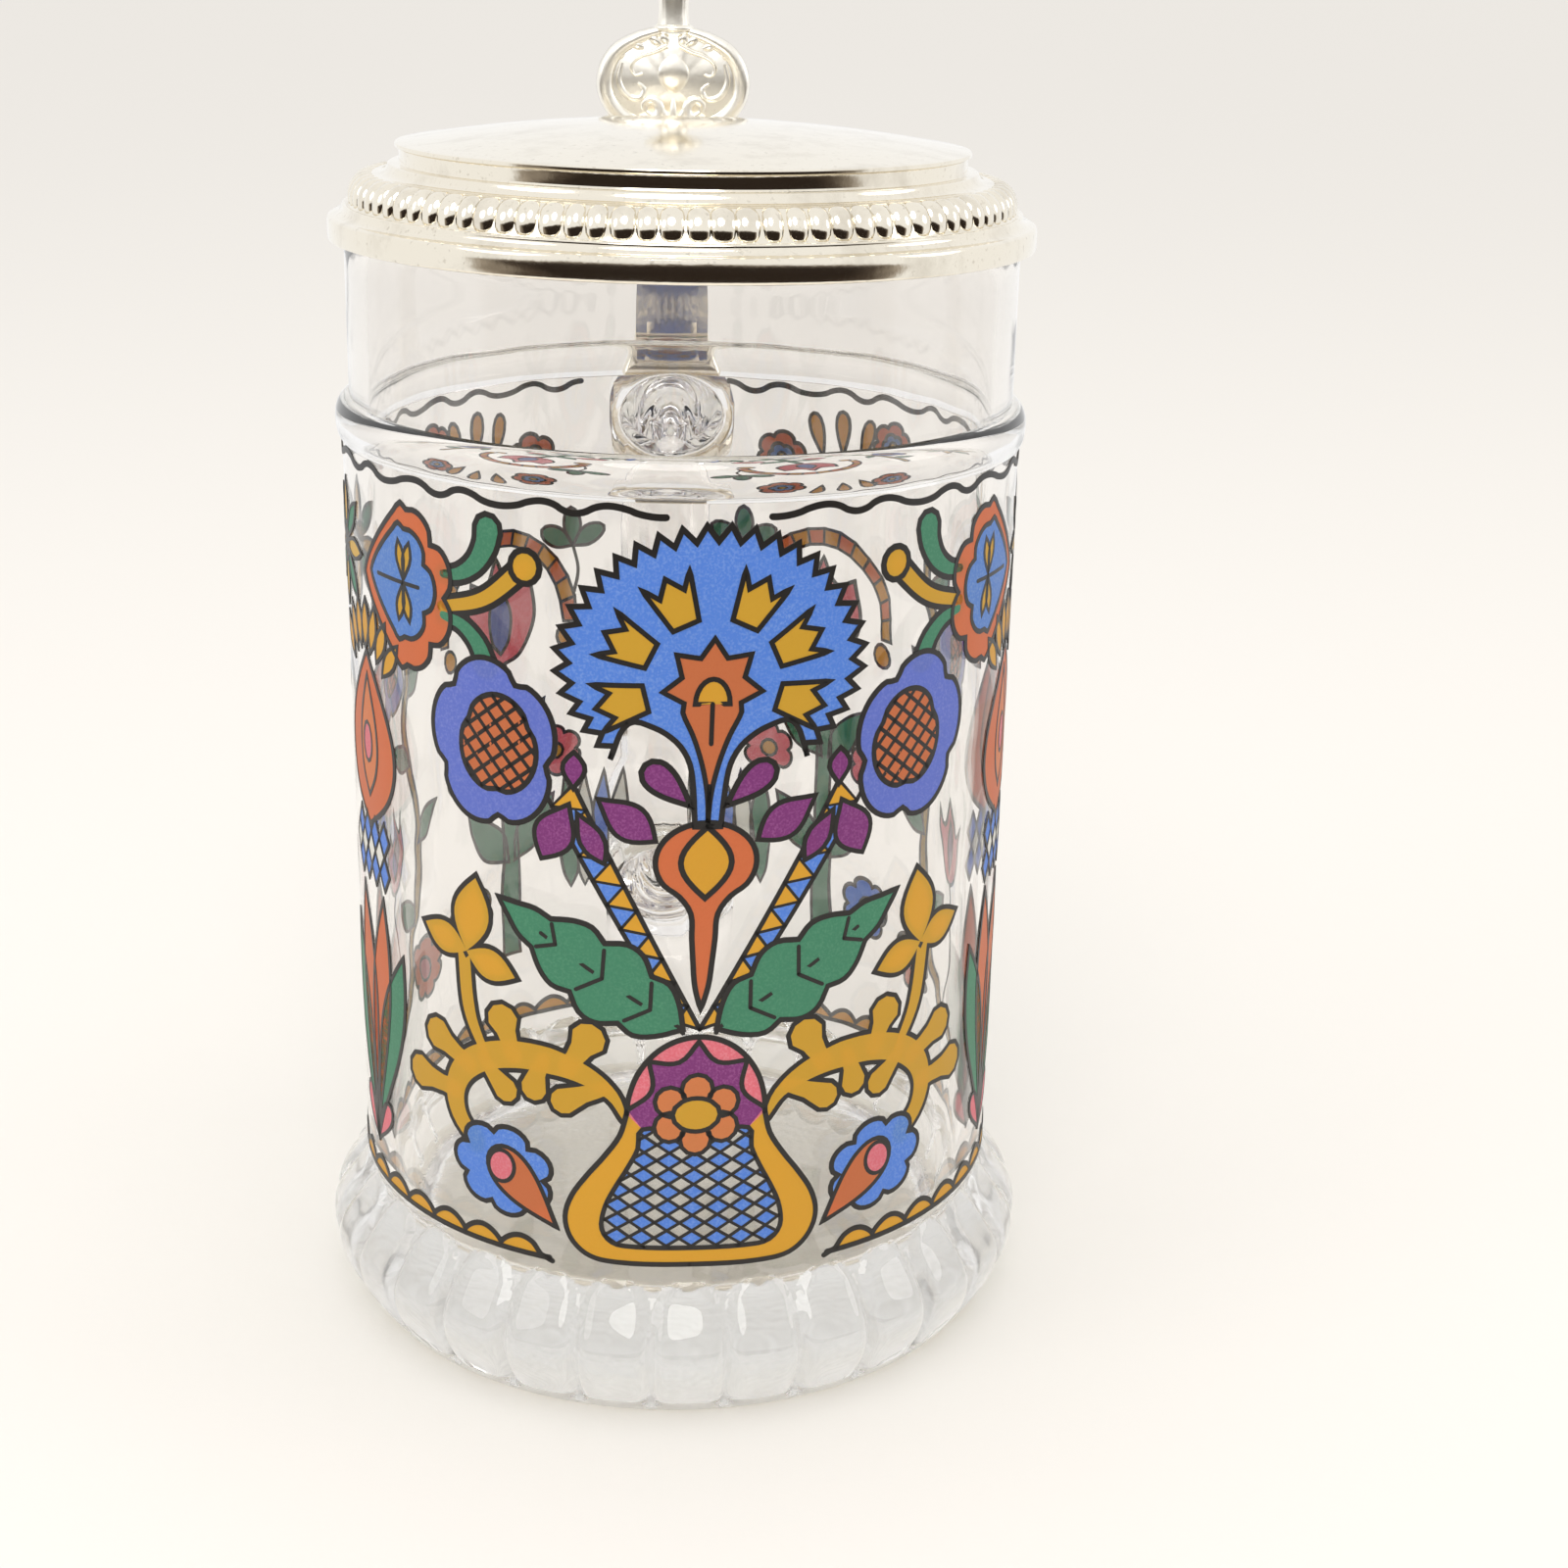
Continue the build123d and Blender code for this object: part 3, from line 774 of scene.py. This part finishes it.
# The sides: a tall stylised garden plant stands between the bouquet and the back, with long
# leaves from one root, a checked pot, a slender bloom and a crown of golden petals.
for long, spin in ((31.0, 17), (36.0, 6), (36.0, -6), (31.0, -17)):
    colour = "terracotta" if long > 32 else "green"
    motif(colour, placed(petal(long, 6.0, 0.6), (52.0, 25.0), 1.0, spin), 2, 0.6)
for spin in (36, -36):
    motif("pink", placed(drop(8.0, 3.4), (52.0, 25.0), 1.0, spin), 3, 0.5)
for row in range(3):
    for column in range(4):
        spot = (47.6 + 2.9 * column + 1.45 * (row % 2), 64.4 + 2.3 * row)
        lozenge = placed([(1.45, 0, 1), (0, 2.3, 1), (-1.45, 0, 1), (0, -2.3, 1)], spot)
        motif("blue" if row % 2 == 0 else "white", lozenge, 2, 0.45)
motif("terracotta", placed(petal(23.0, 15.5, 0.42), (52.0, 70.0)), 2, 0.65)
motif("orange", placed(petal(16.0, 6.0, 0.42), (52.0, 74.0)), 3, 0.55)
motif("pink", placed(oval(1.5, 2.6, 12), (52.3, 81.0)), 4, 0.5)
for k in range(-3, 4):
    motif("ochre", placed(petal(6.2, 2.4), (52.2 + 1.75 * k, 93.4 - 0.28 * k * k), 1.0, -13 * k), 4, 0.55)
for k in range(8):
    colour, long = ("green", 8.5) if k % 2 else ("yellow", 8.0)
    motif(colour, placed(petal(long, 2.4, 0.6), (61.0, 105.0), 1.0, 45 * k), 2, 0.5)
motif("ochre", placed(oval(2.0, 2.4, 12), (61.0, 105.0)), 3, 0.6)

# The back: a garland arch over a tall pink tulip on each side of the handle, with small flowers and
# golden drops above, a green sprig, striped leaves below, and a climbing vine towards the front.
for spot, size in (((95.5, 110.0), 0.72), ((115.4, 106.4), 0.74)):
    motif("terracotta", placed(lobed(5.4, 5.0, 6, 0.2, 10), spot, size), 2, 0.55)
    motif("blue", placed(lobed(2.9, 2.7, 5, 0.2, 30), spot, size), 3, 0.5)
    motif("ochre", placed(oval(1.0, 1.0, 10), spot, size), 4, 0.4)
for k in (-1, 0, 1):
    motif("ochre", placed(drop(6.4, 2.6), (105.0 + 3.4 * k, 107.5 - 0.5 * abs(k)), 1.0, -16 * k), 2, 0.5)
sprig_leaf = half_and_half([(0, 0, 1), (1.4, 2.6), (1.2, 5.0), (0, 6.2)])
for spin in (-62, 0, 62):
    motif("green", placed(sprig_leaf, (121.5, 93.0), 0.95, spin), 2, 0.5)
stroke(through([(121.5, 93.2), (122.2, 89.6), (121.4, 86.0)], False), 0.5)
garland_links = 14
arch_inner, arch_outer = (
    [(*around((108.0, 82.0), wide, high, 180 * i / garland_links), 1) for i in range(garland_links + 1)]
    for wide, high in ((11.6, 12.4), (13.8, 14.8)))
for i in range(garland_links):
    corners = [arch_inner[i], arch_outer[i], arch_outer[i + 1], arch_inner[i + 1]]
    motif("ochre" if i % 2 else "orange", corners, 2, 0.45)
for spot in ((96.4, 79.6), (119.8, 79.6)):
    motif("ochre", placed(oval(1.7, 1.7, 12), spot), 3, 0.5)
for colour, half, level, line in (
    ("pink", [(0, 92.4, 1), (-2.4, 88.6), (-5.6, 89.6, 1), (-6.4, 83.4), (-3.8, 78.4), (0, 76.8, 1)], 2, 0.6),
    ("violet", [(0, 89.0, 1), (-2.0, 84.6), (-1.6, 80.4), (0, 78.6, 1)], 3, 0.5),
):
    motif(colour, placed(half_and_half(half), (108.0, 0)), level, line)
motif("green", [(107.2, 76.8, 1), (108.8, 76.8, 1), (109.4, 60.0), (109.8, 31.0, 1), (106.4, 31.0, 1),
                (106.8, 60.0)], 1, 0.5)
stem_leaf = half_and_half([(0, 0, 1), (2.6, 4.4), (1.9, 9.2), (0, 13.0, 1)])
for side, spin in ((1, -40), (-1, 40)):
    for height, size in ((62.0, 0.86), (46.0, 0.946)):
        motif("green", placed(stem_leaf, (108.0 + 0.6 * side, height), size, spin), 2, 0.5)
for spot in ((98.6, 62.0), (117.6, 62.0)):
    motif("pink", placed(lobed(4.6, 4.4, 6, 0.22, 0), spot, 0.9), 3, 0.5)
    motif("ochre", placed(oval(1.4, 1.4, 10), spot, 0.9), 4, 0.45)
stripe = [(0, 0, 1), (1.5, 3.0), (1.7, 12.0), (0.4, 18.0, 1), (-1.2, 12.0), (-1.0, 3.0)]
for k, colour in enumerate(("green", "white", "blue", "white")):
    motif(colour, placed(stripe, (119.4 + 2.4 * k, 40.0), 1.0, 3 - 3 * k), 2, 0.45)
for spot, colour, eye in (((99.0, 40.0), "blue", "orange"), ((86.0, 36.0), "terracotta", "pink")):
    motif(colour, placed(lobed(5.2, 4.8, 7, 0.2, 0), spot), 3, 0.6)
    motif(eye, placed(oval(1.9, 1.9, 12), spot), 4, 0.5)
vine = through([(70.0, 30.0), (77.0, 34.0), (83.0, 46.0), (84.4, 60.0), (81.0, 74.0), (84.0, 88.0),
                (86.0, 98.0)], False, 0.9)
stroke(vine, [2.9, 2.3], "black", 1)
stroke(vine, [1.5, 0.9], "ochre", 2)
vine_leaf = half_and_half([(0, 0, 1), (2.0, 3.2), (1.5, 6.6), (0, 9.2, 1)])
for spot, spin in (((82.6, 44.0), 50), ((84.4, 56.0), -60), ((82.6, 68.0), 60), ((82.0, 78.0), -55),
                   ((84.4, 90.0), 50)):
    motif("green", placed(vine_leaf, spot, 0.9, spin), 3, 0.55)
motif("violet", placed(lobed(6.6, 7.4, 5, 0.2, -18), (75.0, 84.0)), 2, 0.6)
plum_eye = motif("terracotta", placed(oval(3.0, 3.6, 16), (75.0, 84.0)), 3, 0.55)
hatch(plum_eye, 45, 1.6, 0.4)
hatch(plum_eye, -45, 1.6, 0.4)
bell = half_and_half([(0, 7.2, 1), (3.0, 2.6), (5.4, 4.8, 1), (4.6, -2.6), (0, -6.4)])
motif("pink", placed(bell, (73.0, 58.0), 0.9), 2, 0.6)
motif("plum", placed(half_and_half([(0, 4.6, 1), (1.8, 0.4), (0, -4.0, 1)]), (73.0, 57.6), 0.9), 3, 0.5)
stroke(through([(73.0, 52.4), (72.4, 44.0), (74.0, 34.0)], False), 0.6)

# Fired enamel: glass paint melted on at about 600 degrees. It is dense with a soft shine, and the
# blues, plum and pinks were printed through a fine grain, about 0.3 mm, which leaves lighter specks. It
# lets a little light through, so the far side shows; black lets through least.
specks_per_metre, enamel_glow, black_glow = 3300.0, 0.38, 0.1
enamels = {
    "ochre": ("#E6B032", "#DAA227", 0.10), "yellow": ("#E3BE55", "#D8AE40", 0.10),
    "blue": ("#5F92E6", "#93B6EE", 0.55), "violet": ("#6C7FD6", "#98A2E2", 0.50),
    "terracotta": ("#DE7B49", "#D36C3A", 0.15), "orange": ("#E88C52", "#DD7B42", 0.15),
    "green": ("#4B9472", "#69AB88", 0.40), "plum": ("#8C3A84", "#B060A4", 0.60),
    "pink": ("#EC7C8B", "#F4A6AE", 0.60), "white": ("#F2F0EA", "#E6E4DC", 0.10),
    "black": ("#1C1815", "#2A2522", 0.20),
}
for colour, (body_colour, speck_colour, grain) in enamels.items():
    enamel, tree = blank_material("fired_enamel_" + colour)
    place = add(tree, "ShaderNodeTexCoord").outputs["Object"]
    specks = add(tree, "ShaderNodeTexNoise", inputs={
        "Vector": place, "Scale": specks_per_metre, "Detail": 1.0})
    patches = add(tree, "ShaderNodeTexNoise", inputs={"Vector": place, "Scale": 120.0, "Detail": 3.0})
    share = add(tree, "ShaderNodeMapRange", inputs={0: specks.outputs[0], 1: 0.45, 2: 0.72, 4: grain})
    worn = add(tree, "ShaderNodeMath", {"operation": "MULTIPLY"},
               {0: share.outputs[0], 1: patches.outputs[0]})
    doubled = add(tree, "ShaderNodeMath", {"operation": "MULTIPLY"}, {0: worn.outputs[0], 1: 2.0})
    tint = add(tree, "ShaderNodeMix", {"data_type": "RGBA"},
               {0: doubled.outputs[0], 6: paint(body_colour), 7: paint(speck_colour)})
    gloss = add(tree, "ShaderNodeMapRange", inputs={0: patches.outputs[0], 3: 0.30, 4: 0.45})
    shader = add(tree, "ShaderNodeBsdfPrincipled", inputs={
        "Base Color": tint.outputs[2], "Roughness": gloss.outputs[0], "IOR": 1.50})
    through_light = add(tree, "ShaderNodeBsdfTranslucent", inputs={0: tint.outputs[2]})
    lit = add(tree, "ShaderNodeMixShader", inputs={
        0: black_glow if colour == "black" else enamel_glow, 1: shader.outputs[0],
        2: through_light.outputs[0]})
    add(tree, "ShaderNodeOutputMaterial", inputs={0: lit.outputs[0]})
    points, faces = laid[colour]
    mesh = bpy.data.meshes.new("enamel_" + colour)
    mesh.from_pydata([Vector(p[:2]).to_3d() * mm + Vector((0, 0, p[2] * mm)) for p in points], [], faces)
    made = bmesh.new()
    made.from_mesh(mesh)
    bpy.data.meshes.remove(mesh)
    settle(make_piece("enamel_" + colour, made, enamel, 40), "mug")


# Collar, strap and pin: cast tin alloy, silver-plated and polished with the lid. The collar is pressed
# round the ear's upper root, and the strap grows out of it in a short flare and ends in knuckles.
def plated(name, bright, dull, scale, wear, smooth, rough, dents=0.04):
    """Silver plate over cast metal: bright, with a warm brown bloom where it has gone over."""
    metal, tree = blank_material(name)
    place = add(tree, "ShaderNodeTexCoord").outputs["Object"]
    clouds = add(tree, "ShaderNodeTexNoise", inputs={
        "Vector": place, "Scale": scale, "Detail": 5.0, "Roughness": 0.62})
    specks = add(tree, "ShaderNodeTexNoise", inputs={"Vector": place, "Scale": 1300.0, "Detail": 2.0})
    bloom = add(tree, "ShaderNodeMapRange", inputs={0: clouds.outputs[0], 1: 0.50, 2: 0.74, 4: wear})
    spots = add(tree, "ShaderNodeMapRange", inputs={0: specks.outputs[0], 1: 0.62, 2: 0.74, 4: wear})
    worn = add(tree, "ShaderNodeMath", {"operation": "MAXIMUM"}, {0: bloom.outputs[0], 1: spots.outputs[0]})
    tint = add(tree, "ShaderNodeMix", {"data_type": "RGBA"},
               {0: worn.outputs[0], 6: paint(bright), 7: paint(dull)})
    gloss = add(tree, "ShaderNodeMapRange", inputs={0: worn.outputs[0], 3: smooth, 4: rough})
    bump = add(tree, "ShaderNodeBump", inputs={
        "Height": specks.outputs[0], "Strength": dents, "Distance": 0.0002})
    shader = add(tree, "ShaderNodeBsdfPrincipled", inputs={
        "Base Color": tint.outputs[2], "Metallic": 1.0, "Roughness": gloss.outputs[0],
        "Normal": bump.outputs[0]})
    add(tree, "ShaderNodeOutputMaterial", inputs={0: shader.outputs[0]})
    return metal


# Silver plate, polished: a pale cream metal with soft clouds about 7 mm across and fine pin-spots.
silver = plated("silver_plate", "#F0E9DA", "#9A8C76", 150.0, 0.30, 0.10, 0.26)
# The same plate left satin on the small castings: a soft white metal, nearly without tarnish.
satin_silver = plated("satin_silver_plate", "#FAF6EC", "#B9AD97", 90.0, 0.22, 0.30, 0.42, 0.08)
# Steel pin: drawn wire, cut and spread cold, greyer and duller than the plate.
steel = plated("drawn_steel", "#BDBAB4", "#7D7871", 200.0, 0.5, 0.22, 0.40)
for node in ("handle_collar", "hinge_strap", "hinge_block", "hinge_pin"):
    part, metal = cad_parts[node], steel if node == "hinge_pin" else silver
    part.data.materials.clear()
    part.data.materials.append(metal)

collar_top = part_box("handle_collar")[1].z / mm
strap_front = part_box("hinge_strap")[0].y / mm


def rounded_ring(wide, deep, middle, height, corner=0.45, count=40):
    """A flat ring at one height, between an oval and a box."""
    ring = []
    for c, s in ((math.cos(a), math.sin(a)) for a in round_turns(count)):
        ring.append((wide / 2 * math.copysign(abs(c) ** corner, c),
                     middle + deep / 2 * math.copysign(abs(s) ** corner, s), height))
    return ring


flare = []
for i in range(13):
    share = i / 12
    ease = (1 - share) ** 2.2
    deep = 2.3 + 3.4 * ease
    flare.append(rounded_ring(10.7 + 5.6 * ease, deep, strap_front + deep / 2 - 0.05,
                              collar_top - 1.6 + 7.2 * share))
flare = make_piece("strap_root", skin(flare), silver, 40)
settle(flare, "mug")


# Lid: spun and stamped sheet, silver-plated. A plain skirt stands outside the rim, then a hollow
# flange with a fine bead, a ring of struck lobes, a cove, a riser and a shallow domed disc.
bed_wide, bed_high, bed_middle = 2.95, 3.75, (38.0, 145.7)
profile = [(42.75, 141.6), (43.55, 141.6), (43.8, 141.7), (43.9, 142.0), (43.9, 144.0), (43.8, 144.3),
           (43.5, 144.5), (43.2, 144.55), (42.9, 144.62), (42.55, 144.78), (42.25, 145.05), (42.1, 145.4)]
profile += circle_arc((41.8, 145.55), 0.32, 15, 150, 6)
profile += [(41.35, 145.62)]
profile += [around(bed_middle, bed_wide, bed_high, 10 * i) for i in range(1, 10)]
profile += [(37.6, 149.46), (37.1, 149.6), (36.7, 149.9), (36.5, 150.25), (36.42, 150.5), (36.25, 150.62),
            (35.9, 150.66), (35.5, 150.66), (35.15, 150.72), (35.02, 150.95), (35.0, 152.1), (35.08, 152.4),
            (35.3, 152.52), (35.48, 152.6), (35.5, 152.75), (35.5, 152.9), (35.42, 153.03), (35.2, 153.08)]
profile += [(r, 153.0 + 3.0 * (1 - (r / 35.5) ** 2)) for r in (34.2, 32, 28, 23, 17, 11, 6, 2)]
under_lid = [(r, 151.7 + 3.0 * (1 - (r / 32.4) ** 2)) for r in (2, 6, 11, 17, 23, 28, 31)]
under_lid += [(32.3, 151.7), (33.0, 150.8), (33.5, 149.8), (33.7, 149.0), (33.7, 144.2), (34.0, 143.85),
              (42.4, 143.85), (42.7, 143.6), (42.7, 141.7)]


def merge(store, part):
    """Move one set of faces into another."""
    kept = bpy.data.meshes.new("part")
    part.to_mesh(kept)
    store.from_mesh(kept)
    part.free()
    bpy.data.meshes.remove(kept)


lid_skin = bmesh.new()
for side in (profile, under_lid):
    merge(lid_skin, skin([[(r * math.cos(a), r * math.sin(a), z) for a in round_turns(300)] for r, z in side],
                         False))
# The disc's middle is closed above and below, and then the skirt's two edges are joined.
poles = [e for e in lid_skin.edges if e.is_boundary and e.verts[0].co.to_2d().length < 3 * mm]
for upper in (True, False):
    bmesh.ops.contextual_create(lid_skin, geom=[e for e in poles if (e.verts[0].co.z > 155.5 * mm) == upper])
bmesh.ops.bridge_loops(lid_skin, edges=[e for e in lid_skin.edges if e.is_boundary])
lid = make_piece("lid_cover_spun", lid_skin, silver, 28)
settle(lid, "lid")
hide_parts("lid_cover")

# The ring of lobes: each is struck from behind on the curved bed between flange and cove, plump in its
# middle. No two are struck quite alike.
lobe_count, lobe_rise, lobe_sink = 92, 0.72, 0.3
rings = []
for share in (i / 8 for i in range(9)):
    r, z = around(bed_middle, bed_wide, bed_high, 3 + 80 * share)
    out = Vector(((r - bed_middle[0]) / bed_wide ** 2, 0, (z - bed_middle[1]) / bed_high ** 2)).normalized()
    plump = max(0.12, math.sin(math.pi * min(1, share + 0.06)) ** 0.55)
    half = math.pi * r / lobe_count * 0.99 * (0.45 + 0.55 * plump)
    rings.append([
        tuple(Vector((r, half * math.cos(a), z))
              + out * math.sin(a) * (lobe_rise * plump if math.sin(a) > 0 else lobe_sink))
        for a in round_turns(10)])
lobe = make_piece("lobe", skin(rings), silver, 60)

ring_tree = bpy.data.node_groups.new("struck_lobes", "GeometryNodeTree")
for label, kind in (("Lobe", "Object"), ("Lobes", "Int"), ("Unevenness", "Float")):
    ring_tree.interface.new_socket(label, in_out="INPUT", socket_type="NodeSocket" + kind)
ring_tree.interface.new_socket("Geometry", in_out="OUTPUT", socket_type="NodeSocketGeometry")
inputs = add(ring_tree, "NodeGroupInput").outputs
shape = add(ring_tree, "GeometryNodeObjectInfo", {"transform_space": "ORIGINAL"},
            {"Object": inputs["Lobe"]})
marks = add(ring_tree, "GeometryNodeMeshLine", {"mode": "OFFSET"},
            {"Count": inputs["Lobes"], "Offset": (0, 0, 0)})
number = add(ring_tree, "GeometryNodeInputIndex").outputs[0]
part_turn = add(ring_tree, "ShaderNodeMath", {"operation": "DIVIDE"}, {0: 2 * math.pi, 1: inputs["Lobes"]})
turn_to = add(ring_tree, "ShaderNodeMath", {"operation": "MULTIPLY"}, {0: part_turn.outputs[0], 1: number})
less = add(ring_tree, "ShaderNodeMath", {"operation": "MULTIPLY"}, {0: inputs["Unevenness"], 1: -1.0})
stray = add(ring_tree, "FunctionNodeRandomValue", {"data_type": "FLOAT"}, {
    2: less.outputs[0], 3: inputs["Unevenness"], "ID": number, "Seed": 7})
angle = add(ring_tree, "ShaderNodeMath", {"operation": "ADD"}, {0: turn_to.outputs[0], 1: stray.outputs[1]})
spin = add(ring_tree, "ShaderNodeCombineXYZ", inputs={"Z": angle.outputs[0]})
spread = add(ring_tree, "FunctionNodeRandomValue", {"data_type": "FLOAT"},
             {2: 0.86, 3: 1.12, "ID": number, "Seed": 3})
stretch = add(ring_tree, "ShaderNodeCombineXYZ", inputs={"X": 1.0, "Y": spread.outputs[1], "Z": 1.0})
ring = add(ring_tree, "GeometryNodeInstanceOnPoints", inputs={
    "Points": marks.outputs[0], "Instance": shape.outputs["Geometry"], "Rotation": spin.outputs[0],
    "Scale": stretch.outputs[0]})
real = add(ring_tree, "GeometryNodeRealizeInstances", inputs={0: ring.outputs[0]})
dressed = add(ring_tree, "GeometryNodeSetMaterial", inputs={0: real.outputs[0], "Material": silver})
add(ring_tree, "NodeGroupOutput", inputs={0: dressed.outputs[0]})


def struck(name, tree_used, values):
    """A plain mesh from a Geometry Nodes tree and its named inputs."""
    holder = bpy.data.objects.new(name, bpy.data.meshes.new(name + "_seed"))
    bpy.context.collection.objects.link(holder)
    made = holder.modifiers.new(name, "NODES")
    made.node_group = tree_used
    for item in tree_used.interface.items_tree:
        if item.item_type == "SOCKET" and item.in_out == "INPUT" and item.name in values:
            made[item.identifier] = values[item.name]
    bpy.context.view_layer.update()
    result = bpy.data.meshes.new_from_object(holder.evaluated_get(bpy.context.evaluated_depsgraph_get()))
    holder.modifiers.clear()
    holder.data = result
    result.name = name
    return holder


lobes = struck("lid_lobes", ring_tree, {"Lobe": lobe, "Lobes": lobe_count, "Unevenness": 0.0035})
bpy.data.objects.remove(lobe)
settle(lobes, "lid")

# Thumblift: cast in tin alloy and plated, soldered on the hinge block. Two C-scrolls curl in under a
# shell, leaves crown its shoulders, and a fluted neck carries a closed bud. Both faces are worked.
thumb_low, thumb_high = (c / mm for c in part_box("thumblift"))
thumb_y, thumb_z = (thumb_low.y + thumb_high.y) / 2, thumb_low.z


def tube(path, radii, squash=1.0, sides=10):
    """Rings along a path in the thumblift's plane; squash flattens the section from front to back."""
    rings = []
    spots = [Vector((p[0], 0, p[1])) for p in path]
    for i, spot in enumerate(spots):
        along = (spots[min(i + 1, len(spots) - 1)] - spots[max(i - 1, 0)]).normalized()
        over = Vector((-along.z, 0, along.x))
        r = radii(i / (len(spots) - 1)) if callable(radii) else radii
        rings.append([tuple(spot + over * (r * math.cos(a)) + Vector((0, squash * r * math.sin(a), 0)))
                      for a in round_turns(sides)])
    return rings


def gather(store, rings, at_y, mirror):
    """Add a closed shape to the casting at a depth, and again on the other side if mirrored."""
    for side in ((1, -1) if mirror else (1,)):
        part = skin([[(side * p[0], p[1] + at_y, p[2] + thumb_z) for p in ring] for ring in rings])
        bmesh.ops.recalc_face_normals(part, faces=part.faces)
        merge(store, part)


def shares(count):
    """Even shares from 0 to 1."""
    return [i / count for i in range(count + 1)]


casting = bmesh.new()
shield = [(0, 15.0), (2.3, 14.9, 1), (3.0, 13.8), (4.6, 13.0, 1), (5.6, 12.1, 1), (8.0, 11.2), (9.1, 10.2, 1),
          (10.2, 8.3), (10.4, 6.0), (9.6, 3.2), (8.4, 0.6, 1), (8.4, -0.3, 1), (0, -0.3)]
shield, shield_middle = through(half_and_half(shield), True, 0.7), 6.5
gather(casting, [[(x * shrink, depth, shield_middle + (z - shield_middle) * shrink) for x, z in shield]
                 for depth, shrink in ((-0.75, 0.95), (-0.55, 0.985), (0, 1.0), (0.55, 0.985), (0.75, 0.95))],
       thumb_y, False)
for y in (thumb_y - 0.62, thumb_y + 0.62):
    for scroll, thickness, squash in (
        ([(2.0, 13.9), (5.0, 12.9), (8.0, 11.0), (9.5, 8.0), (9.2, 4.9), (7.2, 2.4), (4.6, 1.4), (2.5, 2.0),
          (1.9, 3.6), (2.9, 4.7), (4.1, 4.1), (3.9, 3.1)],
         lambda t: 0.38 + 0.80 * math.sin(math.pi * min(1, t * 0.9 + 0.08)) ** 0.8, 0.74),
        ([(7.2, 9.6), (7.6, 7.2), (6.5, 5.2), (4.7, 4.9), (4.1, 6.2), (5.0, 6.9)],
         lambda t: 0.30 + 0.22 * math.sin(math.pi * t), 0.9),
        ([(0.9, 12.0), (2.6, 11.2), (4.4, 10.6), (5.8, 9.4), (5.4, 8.0), (4.3, 8.2)],
         lambda t: 0.42 * (1 - 0.5 * t) + 0.05, 0.9),
    ):
        gather(casting, tube(through(scroll, False, 0.5), thickness, squash), y, True)
    for k in range(-2, 3):
        a = math.radians(90 - 27 * k)
        rib = [(0.3 * k + t * 4.0 * math.cos(a), 0.7 + t * 4.2 * math.sin(a)) for t in shares(8)]
        gather(casting, tube(rib, lambda t: 0.2 + 0.42 * math.sin(math.pi * (0.15 + 0.8 * t)), 0.9, 8),
               y, False)
    boss = [(0, 5.6 + 5.2 * t) for t in shares(12)]
    gather(casting, tube(boss, lambda t: 0.1 + 2.2 * math.sin(math.pi * (0.04 + 0.92 * t)) ** 0.7, 0.28, 20),
           y, False)
    for spot, size, spin in (((3.4, 13.4), 2.4, 40), ((5.9, 12.3), 2.2, 20), ((8.4, 10.4), 2.0, -14),
                             ((1.5, 13.9), 2.2, 70)):
        c, s = math.cos(math.radians(spin)), math.sin(math.radians(spin))
        leaf = [(spot[0] - size * c * 0.9 * (1 - t) + 0.1, spot[1] - size * s * 0.9 * (1 - t))
                for t in shares(7)]
        gather(casting, tube(leaf, lambda t: 0.12 + 0.6 * math.sin(math.pi * (0.1 + 0.8 * t)), 0.7, 8),
               y, True)

neck = []
for share in shares(14):
    waist = 1 - 0.16 * math.sin(math.pi * share)
    neck.append([
        (2.45 * waist * flute * math.cos(a), 1.6 * waist * flute * math.sin(a), 13.6 + 6.8 * share)
        for a, flute in ((a, 1 - 0.05 * abs(math.sin(6 * a))) for a in round_turns(36))])
gather(casting, neck, thumb_y, False)
for height, swell in ((14.3, 1.08), (19.2, 1.02)):
    gather(casting, [[(2.55 * swell * s * math.cos(a), 1.75 * swell * s * math.sin(a), height + h)
                      for a in round_turns(32)]
                     for h, s in ((-0.45, 0.86), (-0.3, 0.98), (0, 1.04), (0.3, 0.98), (0.45, 0.86))],
           thumb_y, False)
bud_low, bud_top = 19.5, thumb_high.z - thumb_z - 0.02
bud = []
for t in shares(18):
    body = 4.15 * math.sin(math.pi * min(0.985, 0.10 + 0.86 * t)) ** 0.75 * (1 - 0.25 * t ** 3)
    bud.append([(r * math.cos(a), r * math.sin(a), bud_low + (bud_top - bud_low) * t)
                for a, r in ((a, body * (1 - 0.10 * abs(math.sin(3 * (a + 0.9 * t))) ** 3))
                             for a in round_turns(48))])
gather(casting, bud, thumb_y, False)
for a in (math.pi * k / 3 + 0.4 for k in range(6)):
    leaf = []
    for t in shares(8):
        reach = 2.1 + 2.35 * math.sin(math.pi * 0.5 * min(1, 1.25 * t))
        wide = 1.5 * math.sin(math.pi * (0.12 + 0.86 * t)) + 0.06
        out, beside = Vector((math.cos(a), math.sin(a), 0)), Vector((-math.sin(a), math.cos(a), 0))
        leaf.append([tuple(out * (reach + 0.3 * math.sin(b)) + beside * (wide * math.cos(b))
                           + Vector((0, 0, 19.2 + 5.2 * t))) for b in round_turns(8)])
    gather(casting, leaf, thumb_y, False)
thumb = make_piece("thumblift_cast", casting, satin_silver, 50)
settle(thumb, "lid")
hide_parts("thumblift")
